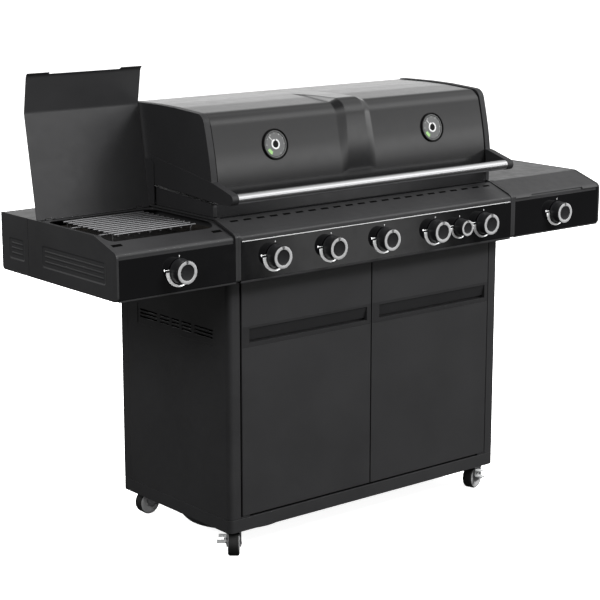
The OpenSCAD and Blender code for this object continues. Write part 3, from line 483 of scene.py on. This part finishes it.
def lid_line():
    """The lid's profile from its front edge over the top to the rear, as close points with normals."""
    front = [(46.3, 862, 0), (49, 900, 700), (56.4, 953, 700), (69.6, 1013, 1200), (84, 1069, 42)]
    top = [(205, 1076.4, 600), (284, 1077.9, 900), (400, 1076.4, 0), (416, 1076, 14), (416, 905, 0)]
    spacing = 9
    line = rounded_line(front + top, 10)
    dense = [line[0]]
    for a, b in zip(line, line[1:]):
        count = max(1, int((b - a).length // spacing))
        dense += [a.lerp(b, (i + 1) / count) for i in range(count)]
    out = []
    for i, p in enumerate(dense):
        along = (dense[min(len(dense) - 1, i + 1)] - dense[max(0, i - 1)]).normalized()
        out.append((p, Vector((-along.y, along.x))))
    return out


def lid_skin():
    """The pressed sheet: rows across the lid along its profile, closer together at the rib's flanks."""
    half = local("lid_skin")[1].x
    thick = 1.6
    rounding = 1.3
    narrowest_flank = 8
    outer_rings = []
    inner_rings = []
    for p, out in lid_line():
        p = p - out * END_PROUD
        crown, foot, height = rib_shape(p.x, p.y)
        side = [half, 380, 290, 200, 130, 90]
        edge = [foot + 3.5, foot + 1.6, foot, foot - 1.8, (foot + crown) / 2]
        edge += [crown + 1.8, crown, crown - 1.6, crown - 4]
        if foot - crown < narrowest_flank:
            edge = [foot + 10 - 2.4 * k for k in range(9)]
        xs = side + edge + [12]
        xs = [-x for x in xs] + [0] + list(reversed(xs))
        ring = []
        inside = []
        for x in xs:
            lift = height * sum(trapezoid(x + d, crown, foot) for d in (-rounding, 0, rounding)) / 3
            q = p + out * lift
            ring.append((x, q.x, q.y))
            q = q - out * thick
            inside.append((x, q.x, q.y))
        outer_rings.append(ring)
        inner_rings.append(inside)
    rows = len(outer_rings)
    columns = len(outer_rings[0])
    points = [v for ring in outer_rings for v in ring] + [v for ring in inner_rings for v in ring]
    faces = []
    shell = rows * columns
    for i in range(rows - 1):
        for j in range(columns - 1):
            a = i * columns + j
            faces.append([a, a + 1, a + 1 + columns, a + columns])
            faces.append([shell + a, shell + a + columns, shell + a + 1 + columns, shell + a + 1])
    for j in range(columns - 1):
        last = (rows - 1) * columns + j
        faces.append([j, shell + j, shell + j + 1, j + 1])
        faces.append([last, last + 1, shell + last + 1, shell + last])
    for i in range(rows - 1):
        for j, flip in ((0, False), (columns - 1, True)):
            a = i * columns + j
            face = [a, a + columns, shell + a + columns, shell + a]
            faces.append(face[::-1] if flip else face)
    skin = build("lid_shell", [(points, faces, 0)], [LID_PAINT], "lid", sharp=24)
    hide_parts("lid_skin")


lid_skin()


def lid_gap_shade():
    """Painted shade: a black strip between the skin and each end casting, standing in for the shaded step,
    seen as a thin line along the casting's rim.
    """
    parts = []
    for side in (-1, 1):
        xs = sorted((side * (RIM_X - 3.0), side * (RIM_X + 0.4)))
        points = []
        for p, out in lid_line():
            for x, lift in ((xs[0], -0.5), (xs[1], -0.5), (xs[1], 0.45), (xs[0], 0.45)):
                q = p + out * (lift - END_PROUD)
                points.append((x, q.x, q.y))
        faces = [[0, 1, 2, 3]]
        for a in range(0, len(points) - 4, 4):
            faces += [[a + k, a + 4 + k, a + 4 + (k + 1) % 4, a + (k + 1) % 4] for k in range(4)]
        a = len(points) - 4
        faces.append([a + 3, a + 2, a + 1, a])
        parts.append((points, faces, 0))
    # Shadow material: painted shade in the step beside each casting
    build("lid_gap_shade", parts, [SHADOW], "lid")


lid_gap_shade()


# ---- Thermometers ----

def thermometer(side):
    """A gauge that leans with the lid's front, sunk a little into it; local Z points out of the dial."""
    centre = place(side * 272.7, 62.5, 981)
    lean = 12
    sunk = 3.0
    matrix = Matrix.Translation(centre) @ Matrix.Rotation(math.radians(90 - lean), 4, "X")
    matrix = matrix @ Matrix.Translation((0, 0, -sunk * MM))
    bezel = lathe([
        (0, -2.8), (39.2, -2.8), (40, -2), (40, 4.2), (39.4, 5.5), (38.2, 6), (37.4, 5.8), (36.8, 5.0),
        (36.4, 3.4)
    ], 72)
    shade = lathe([(36.4, 3.4), (34.8, 3.3)], 72)
    ring = lathe([(34.8, 3.3), (34.3, 3.6), (32.6, 3.5), (32.0, 3.2)], 72)
    groove = lathe([(32.0, 3.2), (31.8, 2.3), (30.9, 2.3), (30.7, 2.7)], 72)
    dial = lathe([(30.7, 2.7), (20, 2.75), (0, 2.8)], 72)
    hub_ring = lathe([(9.2, 2.7), (9.2, 3.6), (9.8, 4.0), (12.6, 4.0), (13.3, 3.6), (13.3, 2.7)], 60, 98, 344)
    hub = lathe([(9.2, 2.6), (9.2, 3.3), (8.8, 3.6), (0, 3.7)], 48)
    notch = block((-1.1, 4, 2.8), (1.1, 13.6, 3.9))
    needle_angle = 132
    needle = turned(
        block((12.4, -0.75, 3.0), (27.5, 0.75, 3.6)), Matrix.Rotation(math.radians(needle_angle), 4, "Z")
    )
    parts = [(*bezel, 0), (*shade, 0), (*ring, 1), (*groove, 0), (*dial, 1)]
    parts += [(*hub_ring, 2), (*hub, 0), (*notch, 0), (*needle, 2)]
    green = arc_band(29.6, lambda t: 21.0, 206, 34, 2.7, 3.0, 16)
    parts.append((*green, 3))
    tick_outer = 29.4
    for k in range(11):
        angle = 240 - k * 30
        behind_green = 200 < angle % 360 < 245
        if behind_green:
            continue
        length = 3.4 if k % 2 == 0 else 2.0
        mark = block((tick_outer - length, -0.5, 2.7), (tick_outer, 0.5, 3.0))
        tick = turned(mark, Matrix.Rotation(math.radians(angle), 4, "Z"))
        parts.append((*tick, 2))
    name = "thermometer_right" if side > 0 else "thermometer_left"
    gauge = build(name, parts, [BEZEL, DIAL_GREY, PRINT_GREY, PRINT_GREEN], "lid", matrix)
    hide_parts("thermometers")


thermometer(-1)
thermometer(1)


# ---- Knobs and the printing round them ----

# Distance of the glass's face in front of the cabinet's front
GLASS_Y = 50
# The large knobs have a radius above this, the small ones below it
LARGE_KNOB = 25


def knob_frame(node):
    """Matrix of a knob's axis, local Z towards the user and local Y up, and its radius inside the flange."""
    flange = 1
    lo, hi = local(node)
    centre = place((lo.x + hi.x) / 2, 0, (lo.z + hi.z) / 2)
    return Matrix.Translation(centre) @ Matrix.Rotation(math.pi / 2, 4, "X"), (hi.x - lo.x) / 2 - flange


def knob(node):
    matrix, r = knob_frame(node)
    back = 30
    base = 52
    face = 83
    ring_outer = r - 1.5
    ring_inner = ring_outer * 0.715
    gap = 9 if r > LARGE_KNOB else 11
    body = lathe([
        (0, base), (r + 0.6, base), (r + 1, base + 0.5), (r + 1, base + 2.4), (r + 0.5, base + 3.2),
        (r + 0.1, base + 4.4), (r, base + 8), (r - 0.5, face - 3), (r - 0.9, face - 1.5),
        (r - 1.5, face - 0.7),
        (ring_outer - 0.2, face - 0.55), (ring_inner + 0.2, face - 0.55), (ring_inner - 0.3, face - 0.7),
        (ring_inner - 0.9, face - 1.6), (ring_inner - 2.5, face - 2.0), (0, face - 2.2)
    ], 96)
    spindle = lathe([(0, back), (4, back), (4, base)], 24)
    ring = lathe([
        (ring_inner, face - 0.7), (ring_inner, face - 0.2), (ring_inner + 0.35, face),
        (ring_outer - 0.35, face),
        (ring_outer, face - 0.2), (ring_outer, face - 0.7)
    ], 80, 90 + gap, 360 - 2 * gap)
    parts = [(*body, 0), (*spindle, 2), (*ring, 1)]
    for side in (-1, 1):
        x = side * 2.1
        tab = block((x - 0.55, ring_inner - 0.5, face - 0.8), (x + 0.55, ring_outer + 0.5, face - 0.05))
        parts.append((*tab, 1))
    groove = block((-1.2, ring_inner - 1, face - 0.9), (1.2, ring_outer + 0.6, face - 0.35))
    parts.append((*groove, 0))
    cap = build(node + "_cap", parts, [KNOB_BLACK, RING_SILVER, BRASS], node, matrix)
    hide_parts(node)


def flame(size):
    """Teardrop outline of a small flame mark, size high."""
    outline = []
    for i in range(20):
        t = 2 * math.pi * i / 20
        outline.append((0.34 * size * math.sin(t) * math.sin(t / 2) ** 0.9, -0.5 * size * math.cos(t)))
    return outline[::-1]


def printing(node):
    """Marks round a knob: an arc of changing width, a drop above it, and a drop and three dashes beside it."""
    matrix, r = knob_frame(node)
    low = GLASS_Y - 0.05
    high = GLASS_Y + 0.12
    outer = r + 10.2
    thick = 11.0 if r > LARGE_KNOB else 9.0
    arc = arc_band(outer, lambda t: outer - thick * (1 - 0.8 * t), 181, 122, low, high, 56)
    parts = [(*arc, 0)]
    parts.append((*shifted(prism(flame(5.2), low, high), (0, outer - 4.0, 0)), 1))
    parts.append((*shifted(prism(flame(6.2), low, high), (-outer - 4.2, 5.0, 0)), 0))
    for x in (outer - 0.6, outer - 4.6, outer - 8.6):
        parts.append((*shifted(block((-1.5, -0.9, low), (1.5, 0.9, high)), (-x, 5.0, 0)), 0))
    build(node + "_print", parts, [PRINT, PRINT_GREY], "cart", matrix)


for name in sorted(name for name in NODES if name.startswith("knob_")):
    knob(name)
    printing(name)


# ---- Grey line along the top of the front glass ----

glass_lo, glass_hi = local("panel_glass")
line_z = glass_hi.z - 2.6
inlay = block((glass_lo.x + 3, -GLASS_Y - 0.35, line_z), (glass_hi.x - 3, -GLASS_Y + 0.1, line_z + 2.0))
build("glass_inlay", [(*inlay, 0)], [PRINT_GREY], "cart", bevel=0.12)


# ---- Caster wheels ----

def caster_wheel(corner):
    joint = JOINTS[f"wheel_{corner}_spin"]
    centre = Vector(joint["pos_m"])
    axis = Vector(joint["axis"])
    matrix = Matrix.Translation(centre) @ axis.to_track_quat("Z", "Y").to_matrix().to_4x4()
    r = centre.z / MM
    half = 13.5
    tread_half = [
        (r - 4.5, half), (r - 2.0, half), (r - 1.3, half - 0.3), (r - 0.5, half - 1.3), (r - 0.1, half - 2.6),
        (r, half - 4.5)
    ]
    tread = lathe([(r - 4.5, -half)] + [(a, -b) for a, b in tread_half[1:]] + list(reversed(tread_half)), 96)
    parts = [(*tread, 0)]
    disc = [
        (4.1, half + 1.2), (5.2, half + 1.9), (8.2, half + 1.9), (8.8, half + 1.3), (9.4, half + 0.9),
        (14.0, half + 1.1), (20.6, half + 1.5), (21.4, half + 1.0), (22.2, half + 1.6), (r - 4.0, half + 1.7),
        (r - 2.8, half + 1.2), (r - 2.5, half - 1.5)
    ]
    for side in (-1, 1):
        points, faces = lathe([(a, b * side) for a, b in disc], 72)
        parts.append((points, faces if side > 0 else [f[::-1] for f in faces], 1))
    bore = lathe([(4.1, half + 1.2), (4.1, -half - 1.2)], 32)
    parts.append((*bore, 1))
    body = f"wheel_{corner}"
    wheel = build(body + "_tyre", parts, [RUBBER, DISC_GREY], body, matrix, sharp=28)
    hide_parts(f"caster_wheel_{corner}")


for corner in ("fl", "fr", "rl", "rr"):
    caster_wheel(corner)


# ---- Sear burner: radiant plate and perforated screen ----

def sear_details():
    lo, hi = local("sear_burner")
    rim = 5.0
    end_inset = 29
    mouth_front = 34
    mouth_rear = 278
    x0 = lo.x + end_inset + rim
    x1 = hi.x - end_inset - rim
    y0 = mouth_front + rim
    y1 = mouth_rear - rim
    plate = block((x0, y0, 777.5), (x1, y1, 779.5))
    build("radiant_plate", [(*plate, 0)], [MESH_SHEET], "cart", bevel=0.3)
    screen = []
    for y in (y0 - 9, y1 + 7.4):
        screen.append((*block((x0 - 4, y, 768), (x1 + 4, y + 1.2, 795)), 0))
    build("sear_screens", screen, [MESH_SHEET], "cart", bevel=0.2)


sear_details()


# ---- Side burner cap with its flame ports ----

def side_burner_details():
    lo, hi = local("side_burner")
    axis_y = 152
    ports = 36
    matrix = Matrix.Translation(place((lo.x + hi.x) / 2, axis_y, 0))
    cap = lathe([(0, 794), (22, 793.6), (36, 792), (39.4, 790.4), (39.8, 788.2), (36, 787.2)], 72)
    parts = [(*cap, 0)]
    for k in range(ports):
        spin = Matrix.Rotation(math.radians(360 / ports * k), 4, "Z")
        tooth = turned(block((41.0, -1.1, 783.5), (44.6, 1.1, 787.6)), spin)
        parts.append((*tooth, 1))
    build("side_burner_cap", parts, [BURNER, BRASS], "cart", matrix, bevel=0.25)


side_burner_details()


# ---- Pressed vents of the side plates ----

def pill_ring(y0, z0, y1, z1, r, x, steps=6):
    """Closed loop round a rectangle with round corners, in a plane across X."""
    loop = []
    corners = ((y1 - r, z1 - r, 0), (y0 + r, z1 - r, 90), (y0 + r, z0 + r, 180), (y1 - r, z0 + r, 270))
    for cy, cz, start in corners:
        for i in range(steps + 1):
            angle = math.radians(start + 90 * i / steps)
            loop.append((x, cy + r * math.cos(angle), cz + r * math.sin(angle)))
    return loop


def loops_joined(loops):
    """Closed solid ring through several loops, the last joined to the first."""
    n = len(loops[0])
    points = [p for loop in loops for p in loop]
    faces = []
    for k in range(len(loops)):
        a = k * n
        b = (k + 1) % len(loops) * n
        faces += [[a + i, a + (i + 1) % n, b + (i + 1) % n, b + i] for i in range(n)]
    return points, faces


def rib(y0, y1, z, floor, height, half):
    """Long half-round rib with round ends."""
    stations = [y0 + half * (1 - math.cos(math.radians(18 * i))) for i in range(6)]
    stations += [y1 - half * (1 - math.cos(math.radians(18 * i))) for i in range(5, -1, -1)]
    steps = 10
    points = []
    for y in stations:
        inset = min(y - y0, y1 - y, half) / half
        k = max(0.02, math.sqrt(max(0.0, 1 - (1 - inset) ** 2)))
        for i in range(steps + 1):
            angle = math.pi * i / steps
            points.append((floor + height * k * math.sin(angle), y, z + half * k * math.cos(angle)))
    n = steps + 1
    faces = []
    for a in range(len(stations) - 1):
        for i in range(n):
            j = (i + 1) % n
            faces.append([a * n + i, a * n + j, a * n + n + j, a * n + n + i])
    faces.append(list(range(n))[::-1])
    faces.append([(len(stations) - 1) * n + i for i in range(n)])
    return points, faces


def side_vents(side):
    """Sloping rims and half-round ribs in a side plate's two recesses, made for the right and mirrored."""
    outer = local("right_side_plate")[1].x
    depth = 1.2
    slope = 3.4
    rib_levels = (716.5, 729.5, 742)
    recesses = ((-2, 280, 701, 756, 6, 268), (364, 438, 701, 755, 373, 427))
    name = "right" if side > 0 else "left"
    parts = []
    for y0, y1, z0, z1, rib_y0, rib_y1 in recesses:
        rim = loops_joined([
            pill_ring(y0 - 0.2, z0 - 0.2, y1 + 0.2, z1 + 0.2, 7.2, outer - 0.01),
            pill_ring(y0 + slope, z0 + slope, y1 - slope, z1 - slope, 7 - slope * 0.6, outer - depth + 0.02),
            pill_ring(y0 - 0.2, z0 - 0.2, y1 + 0.2, z1 + 0.2, 7.2, outer - depth - 0.3),
        ])
        parts.append((*rim, 0))
        for z in rib_levels:
            parts.append((*rib(rib_y0, rib_y1, z, outer - depth - 0.05, depth, 3.0), 0))
    if side < 0:
        parts = [
            ([(-x, y, z) for x, y, z in points], [face[::-1] for face in faces], index)
            for points, faces, index in parts
        ]
    build(name + "_vents", parts, [POWDER], "cart", sharp=30)


side_vents(-1)
side_vents(1)


# ---- Painted shade: near-black blocks in the louvre slots of the panel and of the decks ----

LOUVRE_COUNT = 22
LOUVRE_PITCH = 41.9
LOUVRE_HALF = 12
# The panel's top and a deck's front fall towards the user: height, place and slope of each
PANEL_TOP_Z = 813.75
PANEL_TOP_Y = 33
PANEL_SLOPE = 0.3696
DECK_TOP_Z = 811.55
DECK_TOP_Y = 45
DECK_SLOPE = 0.335
DECK_SLOT = 28
# Ends of a deck's well, from the grill's middle
WELL_X0 = 500
WELL_X1 = 816

def sloped_strip(x0, x1, y0, y1, top_at, depth):
    """Block whose top follows a slope that falls towards the front."""
    corners = ((x0, y0), (x1, y0), (x1, y1), (x0, y1))
    points = [(x, y, top_at(y) - drop) for drop in (depth, 0) for x, y in corners]
    return points, BOX_FACES


def panel_height(y):
    return PANEL_TOP_Z - (PANEL_TOP_Y - y) * PANEL_SLOPE


def deck_height(y):
    return DECK_TOP_Z - (DECK_TOP_Y - y) * DECK_SLOPE


# Near-black blocks sunk in the slots, painted shade standing in for their dark depth
def painted_slot_shade():
    parts = []
    for i in range(LOUVRE_COUNT):
        x = (i - (LOUVRE_COUNT - 1) / 2) * LOUVRE_PITCH
        parts.append((*sloped_strip(x - LOUVRE_HALF, x + LOUVRE_HALF, 15.2, 21.8, panel_height, 1.2), 0))
    for side in (-1, 1):
        for x0 in (WELL_X0 - 2, WELL_X1 - 26):
            ends = sorted((side * x0, side * (x0 + DECK_SLOT)))
            parts.append((*sloped_strip(*ends, -11.5, -1, deck_height, 1.0), 0))
    build("painted_slot_shade", parts, [SHADOW], "cart")


painted_slot_shade()


# ---- Painted shade where the cabinet's floor meets its walls ----

def floor_corner_shade():
    """Low dark strips inside the rear panel and the side panels, painted shade in the corners along the floor.
    """
    rear_y = local("rear_panel")[1].y
    side_x = local("side_panel_right")[1].x
    floor_z = local("base_frame")[1].z
    low = floor_z - 0.3
    high = floor_z + 5
    inner = 4.4
    outer = 2.2
    parts = [(*block((-side_x + 5, rear_y - inner, low), (side_x - 5, rear_y - outer, high)), 0)]
    for side in (-1, 1):
        ends = sorted((side * (side_x - inner), side * (side_x - outer)))
        parts.append((*block((ends[0], 8, low), (ends[1], rear_y - 4.8, high)), 0))
    # Near-black strips: painted shade in the inside corners
    build("floor_corner_shade", parts, [RUBBER], "cart", bevel=0.3)


floor_corner_shade()


# ---- Screws ----

def screw(parts, matrix, r=3.6):
    """Adds a domed head of radius r with a dark cross on it, painted shade standing in for the shaded recess
    of the cross slot.
    """
    head = lathe([(0, 1.9), (r * 0.35, 1.85), (r * 0.75, 1.5), (r * 0.96, 0.8), (r, 0.1), (r, -0.3)], 28)
    parts.append((*turned(head, matrix), 0))
    # The dark cross is painted shade for the recess of the cross slot
    for turn in (0, 90):
        spin = matrix @ Matrix.Rotation(math.radians(turn), 4, "Z")
        slot = turned(block((-r * 0.5, -0.4, 1.2), (r * 0.5, 0.4, 1.98)), spin)
        parts.append((*slot, 1))


def facing(x, y, z, direction):
    return Matrix.Translation((x, y, z)) @ Vector(direction).to_track_quat("Z", "Y").to_matrix().to_4x4()


def screws():
    parts = []
    rear_y = local("rear_panel")[1].y
    pan_y = local("right_module_pan")[1].y
    for x in (-430, -215, 0, 215, 430):
        for z in (52, 645):
            screw(parts, facing(x, rear_y, z, (0, 1, 0)))
    for side in (-1, 1):
        for x in (505, 660, 812):
            for z in (682, 792):
                screw(parts, facing(side * x, pan_y, z, (0, 1, 0)), 3.2)
    build("case_screws", parts, [ZINC, RUBBER], "cart")


screws()


# ---- Stage, light and camera ----

def area(name, location, target, size, power):
    """Area light that lights matt surfaces but leaves no reflection."""
    data = bpy.data.lights.new(name, "AREA")
    data.shape = "RECTANGLE"
    data.size, data.size_y = size
    data.energy = power
    light = bpy.data.objects.new(name, data)
    light.location = location
    light.rotation_euler = (Vector(target) - Vector(location)).to_track_quat("-Z", "Y").to_euler()
    light.visible_glossy = False
    scene.collection.objects.link(light)


def stage():
    """Pale floor, hidden from reflections and bounced light."""
    size = 40.0
    mesh = bpy.data.meshes.new("floor")
    corners = [(-size, -size, 0), (size, -size, 0), (size, size, 0), (-size, size, 0)]
    mesh.from_pydata(corners, [], [[0, 1, 2, 3]])
    material, _, _, shader = tree("pale_floor")
    shader.inputs["Base Color"].default_value = (0.86, 0.86, 0.86, 1)
    shader.inputs["Roughness"].default_value = 0.9
    shader.inputs["Specular IOR Level"].default_value = 0.0
    shader.inputs["Emission Color"].default_value = (1, 1, 1, 1)
    shader.inputs["Emission Strength"].default_value = 0.9
    mesh.materials.append(material)
    floor = bpy.data.objects.new("floor", mesh)
    scene.collection.objects.link(floor)
    floor.visible_glossy = False
    floor.visible_diffuse = False


def level_ramp(nodes, links, value, stops):
    """Grey levels along a value from -1 to 1."""
    half = nodes.new("ShaderNodeMath")
    half.operation = "MULTIPLY_ADD"
    half.inputs[1].default_value = 0.5
    half.inputs[2].default_value = 0.5
    links.new(value, half.inputs[0])
    ramp = nodes.new("ShaderNodeValToRGB")
    elements = ramp.color_ramp.elements
    elements[0].position = (stops[0][0] + 1) / 2
    elements[0].color = (*[stops[0][1]] * 3, 1)
    elements[1].position = (stops[-1][0] + 1) / 2
    elements[1].color = (*[stops[-1][1]] * 3, 1)
    for position, level in stops[1:-1]:
        elements.new((position + 1) / 2).color = (level, level, level, 1)
    links.new(half.outputs[0], ramp.inputs["Fac"])
    return ramp.outputs["Color"]


def math_node(nodes, links, operation, a, b):
    node = nodes.new("ShaderNodeMath")
    node.operation = operation
    links.new(a, node.inputs[0])
    links.new(b, node.inputs[1])
    return node.outputs[0]


def glow(nodes, links, where, direction, radius_deg, level):
    """A soft round light patch of the studio round one direction."""
    dot = nodes.new("ShaderNodeVectorMath")
    dot.operation = "DOT_PRODUCT"
    dot.inputs[1].default_value = Vector(direction).normalized()
    links.new(where.outputs["Generated"], dot.inputs[0])
    span = nodes.new("ShaderNodeMapRange")
    span.interpolation_type = "SMOOTHERSTEP"
    span.inputs["From Min"].default_value = math.cos(math.radians(radius_deg))
    span.inputs["From Max"].default_value = 1.0
    span.inputs["To Max"].default_value = level
    links.new(dot.outputs["Value"], span.inputs["Value"])
    return span.outputs["Result"]


# Grey levels of the studio by the direction's height, from -1, straight down, to 1, straight up
BACK_LEVELS = [
    (-1, 0.03), (-0.35, 0.06), (-0.1, 0.14), (0.0, 0.7), (0.08, 1.1), (0.16, 1.05), (0.22, 0.66),
    (0.30, 0.45), (0.42, 0.4), (0.52, 0.34), (0.68, 0.3), (0.8, 0.6), (0.92, 0.15), (1, 0.1)
]
FRONT_LEVELS = [
    (-1, 0.03), (-0.5, 0.05), (-0.34, 0.08), (-0.22, 0.10), (-0.12, 0.06), (-0.04, 0.08), (0.03, 0.45),
    (0.08, 1.6), (0.13, 1.9), (0.19, 0.9), (0.3, 0.8), (0.5, 1.6), (0.64, 1.5), (0.76, 0.8), (0.9, 0.1),
    (1, 0.1)
]
# Direction, radius in degrees and level of each soft light patch
GLOWS = (((0.645, -0.742, -0.188), 3.6, 1.0), ((0.26, 0.755, 0.60), 15, 2.6))


def world():
    """Studio: light bands near eye level behind the grill and in front of it, and a dark floor and zenith."""
    studio = bpy.data.worlds.new("studio")
    scene.world = studio
    studio.use_nodes = True
    nodes = studio.node_tree.nodes
    links = studio.node_tree.links
    where = nodes.new("ShaderNodeTexCoord")
    axis = nodes.new("ShaderNodeSeparateXYZ")
    links.new(where.outputs["Generated"], axis.inputs["Vector"])
    back = level_ramp(nodes, links, axis.outputs["Z"], BACK_LEVELS)
    front = level_ramp(nodes, links, axis.outputs["Z"], FRONT_LEVELS)
    behind = nodes.new("ShaderNodeMapRange")
    behind.inputs["From Min"].default_value = -0.25
    behind.inputs["From Max"].default_value = 0.45
    links.new(axis.outputs["Y"], behind.inputs["Value"])
    mix = nodes.new("ShaderNodeMix")
    mix.data_type = "RGBA"
    links.new(behind.outputs["Result"], mix.inputs["Factor"])
    links.new(front, mix.inputs["A"])
    links.new(back, mix.inputs["B"])
    sideways = nodes.new("ShaderNodeMapRange")
    sideways.inputs["From Min"].default_value = -0.8
    sideways.inputs["From Max"].default_value = 0.6
    sideways.inputs["To Min"].default_value = 0.42
    links.new(axis.outputs["X"], sideways.inputs["Value"])
    level = math_node(nodes, links, "MULTIPLY", mix.outputs["Result"], sideways.outputs["Result"])
    for direction, radius, gain in GLOWS:
        level = math_node(nodes, links, "ADD", level, glow(nodes, links, where, direction, radius, gain))
    background = nodes["Background"]
    links.new(level, background.inputs["Color"])
    background.inputs["Strength"].default_value = 1.0


def camera():
    data = bpy.data.cameras.new("photo_view")
    data.lens = 107.97
    data.sensor_width = 36
    data.clip_end = 200
    view = bpy.data.objects.new("photo_view", data)
    view.location = place(-3097.8, -3486.2, 1591.0)
    view.rotation_euler = Vector((0.61818, 0.75511, -0.21830)).to_track_quat("-Z", "Y").to_euler()
    scene.collection.objects.link(view)
    scene.camera = view


stage()
world()
camera()
area("overhead", (0.2, -0.4, 4.2), (0, 0, 0.8), (4.0, 2.4), 60)
area("key_right", (3.2, -4.2, 4.4), (0, 0, 0.7), (2.4, 1.6), 1050)
area("fill_left", (-4.6, -1.6, 3.4), (0, 0, 0.6), (2.4, 1.8), 320)
area("fill_rear", (-1.0, 5.0, 3.4), (0, 0, 0.6), (3.0, 1.8), 420)
scene.view_settings.view_transform = "Standard"
